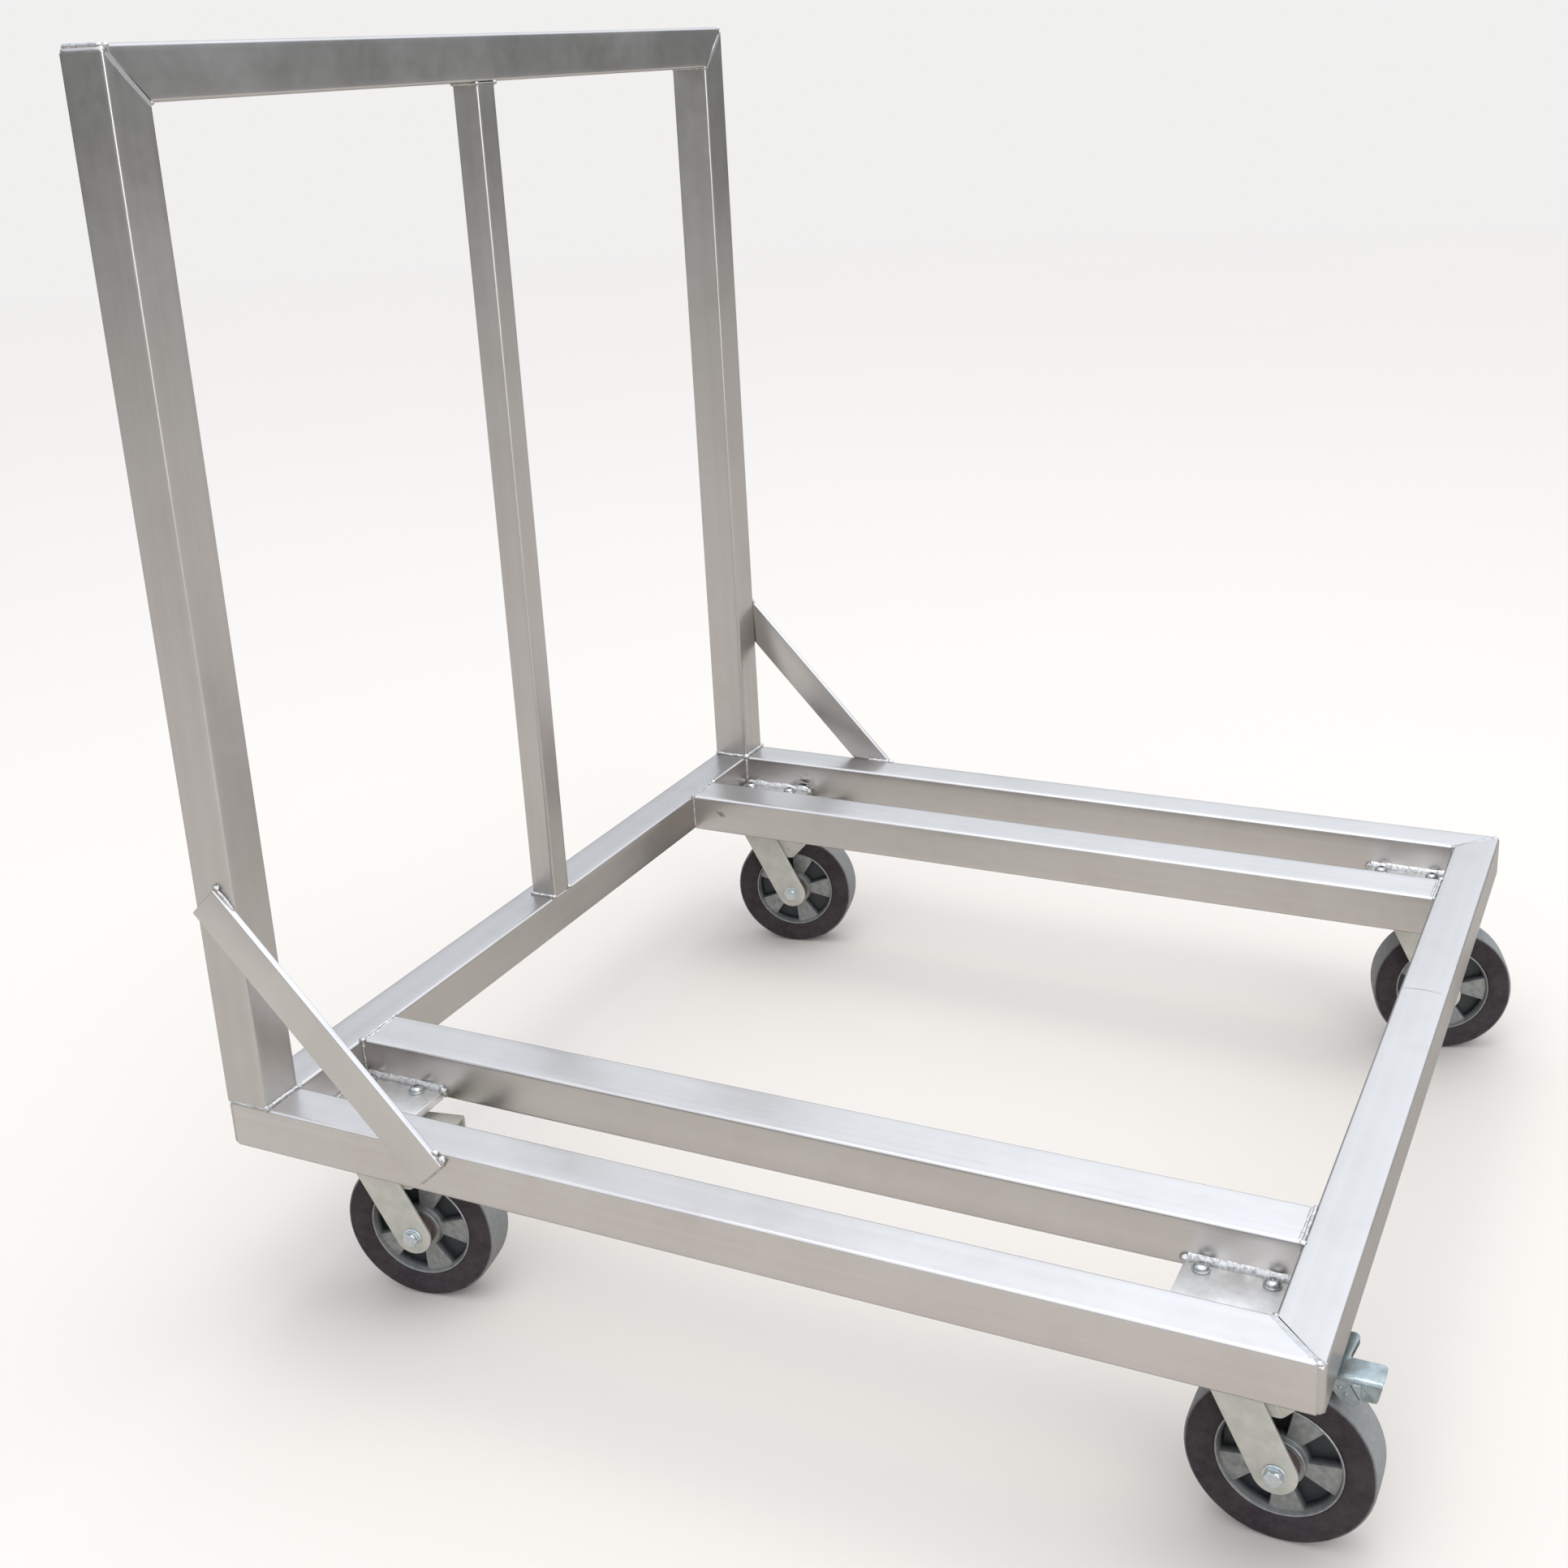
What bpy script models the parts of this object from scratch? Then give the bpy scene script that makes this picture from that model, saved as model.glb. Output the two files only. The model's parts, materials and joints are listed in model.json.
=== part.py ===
"""Airport luggage trolley: a welded box-tube platform on four swivel casters, with a handle frame.

Metres, +Z up. +X points from the handle to the front, so +Y is the left-hand side. The origin is on
the floor, under the middle of the object's box.
"""

import math

import bmesh
import bpy
from mathutils import Matrix, Vector

# Overall sizes of the welded frame.
BASE_LENGTH = 1.320
BASE_WIDTH = 1.330
UPRIGHT_HEIGHT = 1.220  # from the top of the base to the top of the handle bar

# Box tubes, with round outer corners.
TUBE = 0.060
TUBE_WALL = 0.004
TUBE_CORNER = 0.004
INNER_RAIL_WIDTH = 0.070
RAIL_SPACING = 0.126  # clear gap between an outer rail and its inner rail
MID_TUBE = 0.040
MID_WALL = 0.003
MID_CORNER = 0.003

# Flat bars that stiffen the posts.
BRACE_WIDTH = 0.050
BRACE_THICKNESS = 0.008
BRACE_LENGTH = 0.415
BRACE_SLOPE = math.radians(47)
BRACE_HEAD_HEIGHT = 0.256  # of the brace's rear corner above the base
BRACE_HEAD_INSET = 0.0015  # of the same corner from the post's rear face

# Plates welded into the base for the casters, and their bolts.
PLATE_LENGTH = 0.122
PLATE_THICKNESS = 0.010
BOLT_SPACING_X = 0.075
BOLT_TO_RAIL = 0.013  # from a bolt's axis to the rail beside it
BOLT_RADIUS = 0.005
BOLT_HOLE_RADIUS = 0.0055
WASHER_RADIUS = 0.010
WASHER_THICKNESS = 0.002
HEAD_RADIUS = 0.00875
HEAD_HEIGHT = 0.0055
HEAD_TOP_SHARE = 0.7  # flat top of the domed head, as a share of its radius
NUT_ACROSS_FLATS = 0.016
NUT_HEIGHT = 0.008

# Swivel casters.
REAR_SWIVEL_INSET = 0.051  # swivel axis from the inner face of the rear crossbar
FRONT_SWIVEL_INSET = 0.064  # and from the inner face of the front crossbar
TRAIL = 0.065
TOP_PLATE_MARGIN = 0.0175  # from a bolt's axis to the plate's edge
TOP_PLATE_THICKNESS = 0.005
TOP_PLATE_CORNER = 0.010
RACE_RADIUS = 0.043
RACE_HEIGHT = 0.0094
RACE_NECK_SHARE = 0.9  # of the race's radius, where it meets the plate
KINGPIN_RADIUS = 0.008
KINGPIN_HEAD_RADIUS = 0.014
KINGPIN_HEAD_HEIGHT = 0.006
KINGPIN_TAPER_SHARE = 0.8  # of the head's radius, at its lower end
RUNNING_CLEARANCE = 0.0005

CROWN_THICKNESS = 0.005
CROWN_RADIUS = 0.046
SKIRT_THICKNESS = 0.0035
LEG_THICKNESS = 0.0045
LEG_WIDTH = 0.048
LEG_SLOPE = 0.489  # run backwards for each metre of rise
LEG_END_RADIUS = 0.024
LEG_SHOWS = 0.003  # how far the leg's rear edge stands out past the skirt's
EAR_END = 0.045  # front end of the fork's ears, ahead of the axle
EAR_DROP = 0.059  # lowest edge of the ears, below the crown
EAR_FOOT_RADIUS = 0.010

WHEEL_RADIUS = 0.100
TYRE_WIDTH = 0.050
TYRE_DEPTH = 0.033
TYRE_SHOULDER = 0.003
RIM_LIP = 0.0045
HUB_RADIUS = 0.0275
HUB_STANDS_OUT = 0.002  # past each side of the tyre
BEARING_RADIUS = 0.022
SIDE_PLAY = 0.0015  # between the tyre's side and the fork's skirt
CROWN_PLAY = 0.025  # between the top of the tyre and the crown
SPOKES = 5
SPOKE_RECESS = 0.008
POCKET_RECESS = 0.021
POCKET_DRAFT = 0.001  # how far a pocket's inner and outer walls lean
POCKET_WALL = math.radians(0.7)  # half the width of the wall beside a spoke
AXLE_RADIUS = 0.006
AXLE_HEAD_ACROSS_FLATS = 0.018
AXLE_HEAD_HEIGHT = 0.0075
AXLE_WASHER_RADIUS = 0.0125
AXLE_WASHER_THICKNESS = 0.0015

# Brake on the front right caster. Places are given ahead of the axle and below the crown.
PEDAL_THICKNESS = 0.0025
PEDAL_TOP_DROP = 0.003  # below the top of the crown
PEDAL_REACH = 0.099
PEDAL_STEP = 0.062  # front edge of the pedal's wide part
PEDAL_START = 0.050
TONGUE_WIDTH = 0.035
WING_REACH = 0.010  # of the wide part, past the pedal's left side
PEDAL_CORNER = 0.004
PIVOT_AHEAD = 0.034
PIVOT_DROP = 0.013
PIVOT_RADIUS = 0.004
PIVOT_HEAD_RADIUS = 0.0065
PIVOT_HEAD_HEIGHT = 0.002
KNUCKLE_RADIUS = 0.0075
KNUCKLE_ARC = (110, 270)
WAIST = (0.050, 0.0145)  # where the pedal's side is narrowest
BELLY = (0.068, 0.017)  # middle of its round lobe
BELLY_RADIUS = 0.012
BELLY_ARC = (215, 330)
TONGUE_SIDE_DROP = 0.0195
SHOE_WIDTH = 0.040
SHOE_START = 0.051
SHOE_END = 0.0605
SHOE_CLEARANCE = 0.008  # between shoe and tyre with the brake off

WELD_GAP = 0.0003  # welded or bolted faces stand this far apart
LET_IN = 0.0003  # shapes fused into one piece run this far into each other
CUTTER_OVERRUN = 0.002  # how far a cutter reaches past what it cuts
CORNER_STEPS = 2
ARC_STEP = 22.5  # degrees
TYRE_STEPS = 40
RING_STEPS = 16
SMALL_STEPS = 12

# Direction that each caster trails in, and how far round its wheel stands.
CASTERS = {
    "rear_right": (math.radians(10), math.radians(90)),
    "front_right": (math.radians(0), math.radians(90)),
    "rear_left": (math.radians(12), math.radians(62)),
    "front_left": (math.radians(16), math.radians(0)),
}

# Levels, and places across the frame, that follow from the sizes above.
CROWN_FLOOR = 2 * WHEEL_RADIUS + CROWN_PLAY
CROWN_TOP = CROWN_FLOOR + CROWN_THICKNESS
TOP_PLATE_FLOOR = CROWN_TOP + WELD_GAP + RACE_HEIGHT
CASTER_HEIGHT = TOP_PLATE_FLOOR + TOP_PLATE_THICKNESS + WELD_GAP  # floor to the frame's underside
BASE_TOP = CASTER_HEIGHT + TUBE
FRAME_TOP = BASE_TOP + UPRIGHT_HEIGHT
MITRE_GAP = WELD_GAP / math.sqrt(2)
BOLT_SPACING_Y = RAIL_SPACING - 2 * BOLT_TO_RAIL
TOP_PLATE_LENGTH = BOLT_SPACING_X + 2 * TOP_PLATE_MARGIN
TOP_PLATE_WIDTH = BOLT_SPACING_Y + 2 * TOP_PLATE_MARGIN
INNER_RAIL_Y = BASE_WIDTH / 2 - TUBE - RAIL_SPACING - INNER_RAIL_WIDTH / 2
CASTER_Y = BASE_WIDTH / 2 - TUBE - RAIL_SPACING / 2
REAR_FACE_TO_FRONT_WHEEL = BASE_LENGTH - TUBE - FRONT_SWIVEL_INSET + TRAIL + WHEEL_RADIUS
REAR_X = -REAR_FACE_TO_FRONT_WHEEL / 2
FRONT_X = REAR_X + BASE_LENGTH
SWIVEL_X = {
    "rear": REAR_X + TUBE + REAR_SWIVEL_INSET,
    "front": FRONT_X - TUBE - FRONT_SWIVEL_INSET,
}
SIDE = {"right": -1, "left": 1}
RIM_RADIUS = WHEEL_RADIUS - TYRE_DEPTH
SKIRT_INSIDE = TYRE_WIDTH / 2 + SIDE_PLAY
SKIRT_OUTSIDE = SKIRT_INSIDE + SKIRT_THICKNESS
LEG_INSIDE = SKIRT_OUTSIDE - LET_IN
LEG_OUTSIDE = LEG_INSIDE + LEG_THICKNESS
PEDAL_TOP = CROWN_TOP - PEDAL_TOP_DROP
PEDAL_FLOOR = PEDAL_TOP - PEDAL_THICKNESS
PEDAL_INSIDE = SKIRT_OUTSIDE + RUNNING_CLEARANCE
PEDAL_OUTSIDE = PEDAL_INSIDE + PEDAL_THICKNESS
PIVOT_X, PIVOT_Z = TRAIL + PIVOT_AHEAD, CROWN_FLOOR - PIVOT_DROP


def clear_scene():
    for obj in list(bpy.data.objects):
        bpy.data.objects.remove(obj, do_unlink=True)


def material(name, colour, roughness, metallic):
    made = bpy.data.materials.new(name)
    made.use_nodes = True
    shader = made.node_tree.nodes["Principled BSDF"]
    shader.inputs["Base Color"].default_value = (*colour, 1)
    shader.inputs["Roughness"].default_value = roughness
    shader.inputs["Metallic"].default_value = metallic
    return made


def place(name, mesh, finish, matrix=None, parent=None):
    """A named object for the mesh, with its own copy of the finish."""
    obj = bpy.data.objects.new(name, mesh)
    bpy.context.scene.collection.objects.link(obj)
    if not mesh.materials:
        mesh.materials.append(None)
    obj.material_slots[0].link = "OBJECT"
    obj.material_slots[0].material = finish.copy()
    obj.material_slots[0].material.name = name
    obj.parent = parent
    if matrix is not None:
        obj.matrix_local = matrix
    return obj


def empty(name, matrix, parent=None):
    obj = bpy.data.objects.new(name, None)
    bpy.context.scene.collection.objects.link(obj)
    obj.empty_display_size = 0.03
    obj.parent = parent
    obj.matrix_local = matrix
    return obj


def mesh_from(name, points, faces, smooth=False):
    """A mesh whose faces point outwards."""
    mesh = bpy.data.meshes.new(name)
    mesh.from_pydata(points, [], faces)
    work = bmesh.new()
    work.from_mesh(mesh)
    bmesh.ops.recalc_face_normals(work, faces=work.faces)
    work.to_mesh(mesh)
    work.free()
    if smooth:
        mesh.shade_smooth()
        mesh.set_sharp_from_angle(angle=math.radians(30))
    return mesh


def rounded_rectangle(width, height, radius, steps=CORNER_STEPS):
    points = []
    for quarter, (side_x, side_y) in enumerate(((1, 1), (-1, 1), (-1, -1), (1, -1))):
        for step in range(steps + 1):
            angle = math.pi / 2 * (quarter + step / steps)
            x = side_x * (width / 2 - radius) + radius * math.cos(angle)
            y = side_y * (height / 2 - radius) + radius * math.sin(angle)
            points.append((x, y))
    return points


def box_tube(name, width, height, wall, corner, low_end, high_end):
    """A tube along Z, open at both ends. low_end and high_end give Z for each (x, y) of the section."""
    outer = rounded_rectangle(width, height, corner)
    inner = rounded_rectangle(width - 2 * wall, height - 2 * wall, corner / 4)
    count = len(outer)
    points = []
    for loop in (outer, inner):
        for end in (low_end, high_end):
            points += [(x, y, end(x, y)) for x, y in loop]
    faces = []
    loops = [0, count, 3 * count, 2 * count]
    for place_in_ring, first in enumerate(loops):
        second = loops[(place_in_ring + 1) % len(loops)]
        for i in range(count):
            j = (i + 1) % count
            faces.append((first + i, first + j, second + j, second + i))
    return mesh_from(name, points, faces)


def prism(name, outline, low, high, axes="XYZ"):
    """The outline swept from low to high. axes says which way its two directions and the sweep run."""
    order = ["XYZ".index(axis) for axis in axes]

    def world(first, second, along):
        point = [0, 0, 0]
        for axis, value in zip(order, (first, second, along)):
            point[axis] = value
        return point

    count = len(outline)
    points = [world(x, y, low) for x, y in outline] + [world(x, y, high) for x, y in outline]
    faces = [tuple(range(count)), tuple(range(count, 2 * count))]
    faces += [(i, (i + 1) % count, count + (i + 1) % count, count + i) for i in range(count)]
    return mesh_from(name, points, faces)


def hexagon_radius(across_flats, angle):
    off_flat = (angle % (math.pi / 3)) - math.pi / 6
    return across_flats / 2 / math.cos(off_flat)


def turned(name, rings, steps, hollow=False, smooth=True):
    """Rings of (radius or across-flats, height, is_hexagon) joined in order round the Z axis.

    A solid piece is capped at its first and last ring; a hollow one joins its last ring to its first.
    """
    points = []
    for size, height, is_hexagon in rings:
        for step in range(steps):
            angle = 2 * math.pi * step / steps
            radius = hexagon_radius(size, angle) if is_hexagon else size
            points.append((radius * math.cos(angle), radius * math.sin(angle), height))
    faces = []
    for ring in range(len(rings) if hollow else len(rings) - 1):
        first, second = ring * steps, (ring + 1) % len(rings) * steps
        for i in range(steps):
            j = (i + 1) % steps
            faces.append((first + i, first + j, second + j, second + i))
    if not hollow:
        faces += [tuple(range(steps)), tuple(range(len(points) - steps, len(points)))]
    return mesh_from(name, points, faces, smooth)


def combined(name, base, added=(), removed=()):
    """One mesh: the base with the other solids joined on, and the cutters taken out."""
    link = bpy.context.scene.collection.objects.link
    obj = bpy.data.objects.new(name, base)
    link(obj)
    helpers = []
    for operation, meshes in (("UNION", added), ("DIFFERENCE", removed)):
        for mesh in meshes:
            helper = bpy.data.objects.new(mesh.name, mesh)
            link(helper)
            helper.hide_render = True
            helper.display_type = "WIRE"
            modifier = obj.modifiers.new(operation, "BOOLEAN")
            modifier.operation = operation
            modifier.object = helper
            helpers.append(helper)
    graph = bpy.context.evaluated_depsgraph_get()
    mesh = bpy.data.meshes.new_from_object(obj.evaluated_get(graph))
    mesh.name = name
    for helper in [obj, *helpers]:
        bpy.data.objects.remove(helper, do_unlink=True)
    return mesh


def moved(mesh, x=0, y=0, z=0):
    mesh.transform(Matrix.Translation((x, y, z)))
    return mesh


def flat(value):
    return lambda x, y: value


# A tube's section lies in its local XY plane and its length along local Z. These turn it into place.
ALONG_X = Matrix(((0, 0, 1, 0), (1, 0, 0, 0), (0, 1, 0, 0), (0, 0, 0, 1)))  # section x to Y, y to Z
ALONG_Y = Matrix(((0, 1, 0, 0), (0, 0, 1, 0), (1, 0, 0, 0), (0, 0, 0, 1)))  # section x to Z, y to X
# Turned pieces are made round local Z. This lays them across the wheel.
ACROSS = Matrix.Rotation(math.pi / 2, 4, "X")


def make_base(aluminium):
    middle_z = BASE_TOP - TUBE / 2
    half = TUBE / 2
    for side_name, side in SIDE.items():
        # The long side of a mitred rail is the outer one.
        rail = box_tube(
            f"outer_rail_{side_name}", TUBE, TUBE, TUBE_WALL, TUBE_CORNER,
            lambda x, y, side=side: half - side * x + MITRE_GAP,
            lambda x, y, side=side: BASE_LENGTH - half + side * x - MITRE_GAP,
        )
        y = side * (BASE_WIDTH / 2 - half)
        place(rail.name, rail, aluminium, Matrix.Translation((REAR_X, y, middle_z)) @ ALONG_X)

        inner = box_tube(
            f"inner_rail_{side_name}", INNER_RAIL_WIDTH, TUBE, TUBE_WALL, TUBE_CORNER,
            flat(TUBE + WELD_GAP), flat(BASE_LENGTH - TUBE - WELD_GAP),
        )
        y = side * INNER_RAIL_Y
        place(inner.name, inner, aluminium, Matrix.Translation((REAR_X, y, middle_z)) @ ALONG_X)

    for end_name, end, x in (("rear", -1, REAR_X + half), ("front", 1, FRONT_X - half)):
        bar = box_tube(
            f"crossbar_{end_name}", TUBE, TUBE, TUBE_WALL, TUBE_CORNER,
            lambda x, y, end=end: half - end * y + MITRE_GAP,
            lambda x, y, end=end: BASE_WIDTH - half + end * y - MITRE_GAP,
        )
        place(bar.name, bar, aluminium, Matrix.Translation((x, -BASE_WIDTH / 2, middle_z)) @ ALONG_Y)


def make_upright(aluminium):
    half = TUBE / 2
    for side_name, side in SIDE.items():
        post = box_tube(
            f"post_{side_name}", TUBE, TUBE, TUBE_WALL, TUBE_CORNER,
            flat(BASE_TOP + WELD_GAP),
            lambda x, y, side=side: FRAME_TOP - half + side * y - MITRE_GAP,
        )
        y = side * (BASE_WIDTH / 2 - half)
        place(post.name, post, aluminium, Matrix.Translation((REAR_X + half, y, 0)))

    bar = box_tube(
        "handle_bar", TUBE, TUBE, TUBE_WALL, TUBE_CORNER,
        lambda x, y: half - x + MITRE_GAP,
        lambda x, y: BASE_WIDTH - half + x - MITRE_GAP,
    )
    corner = Matrix.Translation((REAR_X + half, -BASE_WIDTH / 2, FRAME_TOP - half))
    place(bar.name, bar, aluminium, corner @ ALONG_Y)

    middle = box_tube(
        "mid_upright", MID_TUBE, MID_TUBE, MID_WALL, MID_CORNER,
        flat(BASE_TOP + WELD_GAP), flat(FRAME_TOP - TUBE - WELD_GAP),
    )
    x = REAR_X + TUBE - MID_TUBE / 2
    place(middle.name, middle, aluminium, Matrix.Translation((x, 0, 0)))


def make_braces(aluminium):
    run, rise = math.cos(BRACE_SLOPE), math.sin(BRACE_SLOPE)
    head = Vector((REAR_X + BRACE_HEAD_INSET, BASE_TOP + BRACE_HEAD_HEIGHT))
    along = Vector((run, -rise)) * BRACE_LENGTH
    across = Vector((rise, run)) * BRACE_WIDTH
    outline = [tuple(p) for p in (head, head + along, head + along + across, head + across)]
    for side_name, side in SIDE.items():
        near = side * (BASE_WIDTH / 2 + WELD_GAP)
        far = near + side * BRACE_THICKNESS
        brace = prism(f"brace_{side_name}", outline, near, far, axes="XZY")
        place(brace.name, brace, aluminium)


def bolt_places():
    """Name and offset from the swivel axis of a caster's four bolts."""
    for row, along in (("rear", -1), ("front", 1)):
        for column, across in (("right", -1), ("left", 1)):
            yield f"{row}_{column}", along * BOLT_SPACING_X / 2, across * BOLT_SPACING_Y / 2


def bolt_cutters(low, high):
    """One pin for each bolt hole, reaching past both faces."""
    ends = (low - CUTTER_OVERRUN, high + CUTTER_OVERRUN)
    rings = [(BOLT_HOLE_RADIUS, end, False) for end in ends]
    return [moved(turned("bolt_hole", rings, SMALL_STEPS), x, y) for _, x, y in bolt_places()]


def make_mounting_plates(aluminium):
    """The plate fills the gap between two rails and starts at its crossbar."""
    half_width = RAIL_SPACING / 2 - WELD_GAP
    for end_name, inset, facing in (("rear", REAR_SWIVEL_INSET, 1), ("front", FRONT_SWIVEL_INSET, -1)):
        near = -facing * (inset - WELD_GAP)
        far = facing * (PLATE_LENGTH - inset)
        outline = [(near, -half_width), (far, -half_width), (far, half_width), (near, half_width)]
        blank = prism("plate_blank", outline, 0, PLATE_THICKNESS)
        plate = combined(f"plate_{end_name}", blank, removed=bolt_cutters(0, PLATE_THICKNESS))
        for side_name, side in SIDE.items():
            spot = Matrix.Translation((SWIVEL_X[end_name], side * CASTER_Y, CASTER_HEIGHT))
            place(f"mounting_plate_{end_name}_{side_name}", plate, aluminium, spot)


def plate_bolt():
    """A button-head bolt on its washer, with its nut done up. Z = 0 is the top of the mounting plate."""
    grip = PLATE_THICKNESS + WELD_GAP + TOP_PLATE_THICKNESS
    seat = WELD_GAP
    washer_top = seat + WASHER_THICKNESS
    head_top = washer_top + HEAD_HEIGHT
    nut_top = -grip - WELD_GAP
    rings = [
        (HEAD_RADIUS * HEAD_TOP_SHARE, head_top, False),
        (HEAD_RADIUS, washer_top, False),
        (WASHER_RADIUS, washer_top, False),
        (WASHER_RADIUS, seat, False),
        (BOLT_RADIUS, seat, False),
        (BOLT_RADIUS, nut_top, False),
        (NUT_ACROSS_FLATS, nut_top, True),
        (NUT_ACROSS_FLATS, nut_top - NUT_HEIGHT, True),
    ]
    return turned("plate_bolt", rings, SMALL_STEPS)


def top_plate():
    """The caster's fixed plate, with its race and the kingpin that carries the fork."""
    outline = rounded_rectangle(TOP_PLATE_LENGTH, TOP_PLATE_WIDTH, TOP_PLATE_CORNER)
    top = TOP_PLATE_FLOOR + TOP_PLATE_THICKNESS
    blank = prism("top_plate_blank", outline, TOP_PLATE_FLOOR, top)
    head_top = CROWN_FLOOR - WELD_GAP
    rings = [
        (RACE_RADIUS * RACE_NECK_SHARE, TOP_PLATE_FLOOR + TOP_PLATE_THICKNESS / 2, False),
        (RACE_RADIUS, TOP_PLATE_FLOOR - RACE_HEIGHT, False),
        (KINGPIN_RADIUS, TOP_PLATE_FLOOR - RACE_HEIGHT, False),
        (KINGPIN_RADIUS, head_top, False),
        (KINGPIN_HEAD_RADIUS, head_top, False),
        (KINGPIN_HEAD_RADIUS * KINGPIN_TAPER_SHARE, head_top - KINGPIN_HEAD_HEIGHT, False),
    ]
    race = turned("race", rings, RING_STEPS)
    cutters = bolt_cutters(TOP_PLATE_FLOOR, top)
    return combined("top_plate", blank, added=[race], removed=cutters)


def arc(centre_x, centre_y, radius, start, end):
    """Points on an arc, with its angles in degrees."""
    points = []
    steps = math.ceil(abs(end - start) / ARC_STEP)
    for step in range(steps + 1):
        angle = math.radians(start + (end - start) * step / steps)
        points.append((centre_x + radius * math.cos(angle), centre_y + radius * math.sin(angle)))
    return points


def leg_outline():
    """A slanting strip with a round foot, in X and Z, from the crown to below the axle."""
    tilt = math.atan(LEG_SLOPE)
    top = CROWN_FLOOR + CROWN_THICKNESS / 2
    rise = top - WHEEL_RADIUS
    turn = math.degrees(tilt)
    foot = arc(TRAIL, WHEEL_RADIUS, LEG_END_RADIUS, 180 + turn, 360 + turn)
    half_run = LEG_WIDTH / 2 / math.cos(tilt)
    back_top = (TRAIL - LEG_SLOPE * rise - half_run, top)
    front_top = (TRAIL - LEG_SLOPE * rise + half_run, top)
    return [back_top, *foot, front_top]


def skirt_outline():
    """The crown's folded edge: as wide as the leg behind, and an ear with a round foot in front."""
    top = CROWN_FLOOR + CROWN_THICKNESS / 2
    floor = CROWN_FLOOR - EAR_DROP
    behind = LEG_WIDTH / 2 / math.cos(math.atan(LEG_SLOPE)) - LEG_SHOWS
    back_low = TRAIL - LEG_SLOPE * (floor - WHEEL_RADIUS) - behind
    back_top = TRAIL - LEG_SLOPE * (top - WHEEL_RADIUS) - behind
    foot = arc(TRAIL, floor + EAR_FOOT_RADIUS, EAR_FOOT_RADIUS, 270, 315)
    last_x, last_z = foot[-1]
    front = TRAIL + EAR_END
    return [(back_top, top), (back_low, floor), *foot, (front, last_z + front - last_x), (front, top)]


def crown_outline():
    """A disc round the swivel axis that runs on to the front of the ears."""
    front = TRAIL + EAR_END - LET_IN
    half = SKIRT_OUTSIDE - LET_IN
    turn = math.degrees(math.asin(half / CROWN_RADIUS))
    return [*arc(0, 0, CROWN_RADIUS, turn, 360 - turn), (front, -half), (front, half)]


def cross_hole(radius, x, z):
    """A cutter along Y that reaches past both sides of the fork and the pedal."""
    reach = max(LEG_OUTSIDE, PEDAL_OUTSIDE) + CUTTER_OVERRUN
    pin = turned("cross_hole", [(radius, -reach, False), (radius, reach, False)], SMALL_STEPS)
    pin.transform(ACROSS)
    return moved(pin, x=x, z=z)


def fork():
    """A pressed crown with folded skirts, and two legs let into them."""
    crown = prism("crown", crown_outline(), CROWN_FLOOR, CROWN_TOP)
    added = []
    for side in (-1, 1):
        skirt_in, skirt_out = side * SKIRT_INSIDE, side * SKIRT_OUTSIDE
        leg_in, leg_out = side * LEG_INSIDE, side * LEG_OUTSIDE
        added.append(prism("skirt", skirt_outline(), skirt_in, skirt_out, axes="XZY"))
        added.append(prism("leg", leg_outline(), leg_in, leg_out, axes="XZY"))
    bore = KINGPIN_RADIUS + RUNNING_CLEARANCE
    ends = (CROWN_FLOOR - CUTTER_OVERRUN, CROWN_TOP + CUTTER_OVERRUN)
    rings = [(bore, end, False) for end in ends]
    removed = [
        turned("kingpin_hole", rings, RING_STEPS),
        cross_hole(AXLE_RADIUS + RUNNING_CLEARANCE, TRAIL, WHEEL_RADIUS),
    ]
    return combined("fork", crown, added, removed)


def braked_fork(plain):
    """The same fork with a hole through both ears for the pedal's pin."""
    radius = PIVOT_RADIUS + RUNNING_CLEARANCE
    hole = cross_hole(radius, PIVOT_X, PIVOT_Z)
    return combined("braked_fork", plain.copy(), removed=[hole])


def axle_bolt():
    """Hexagon head and nut on one bolt, each on its washer, along Z with the middle at Z = 0."""
    seat = LEG_OUTSIDE + WELD_GAP
    washer = seat + AXLE_WASHER_THICKNESS
    half = [
        (AXLE_RADIUS, seat, False),
        (AXLE_WASHER_RADIUS, seat, False),
        (AXLE_WASHER_RADIUS, washer, False),
        (AXLE_HEAD_ACROSS_FLATS, washer, True),
        (AXLE_HEAD_ACROSS_FLATS, washer + AXLE_HEAD_HEIGHT, True),
    ]
    other = [(size, -height, is_hexagon) for size, height, is_hexagon in reversed(half)]
    return turned("axle_bolt", other + half, SMALL_STEPS)


def hub_bearing():
    reach = LEG_INSIDE - RUNNING_CLEARANCE
    bore = AXLE_RADIUS + RUNNING_CLEARANCE
    rings = [(bore, -reach, False), (BEARING_RADIUS, -reach, False)]
    rings += [(BEARING_RADIUS, reach, False), (bore, reach, False)]
    return turned("hub_bearing", rings, RING_STEPS, hollow=True)


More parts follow.
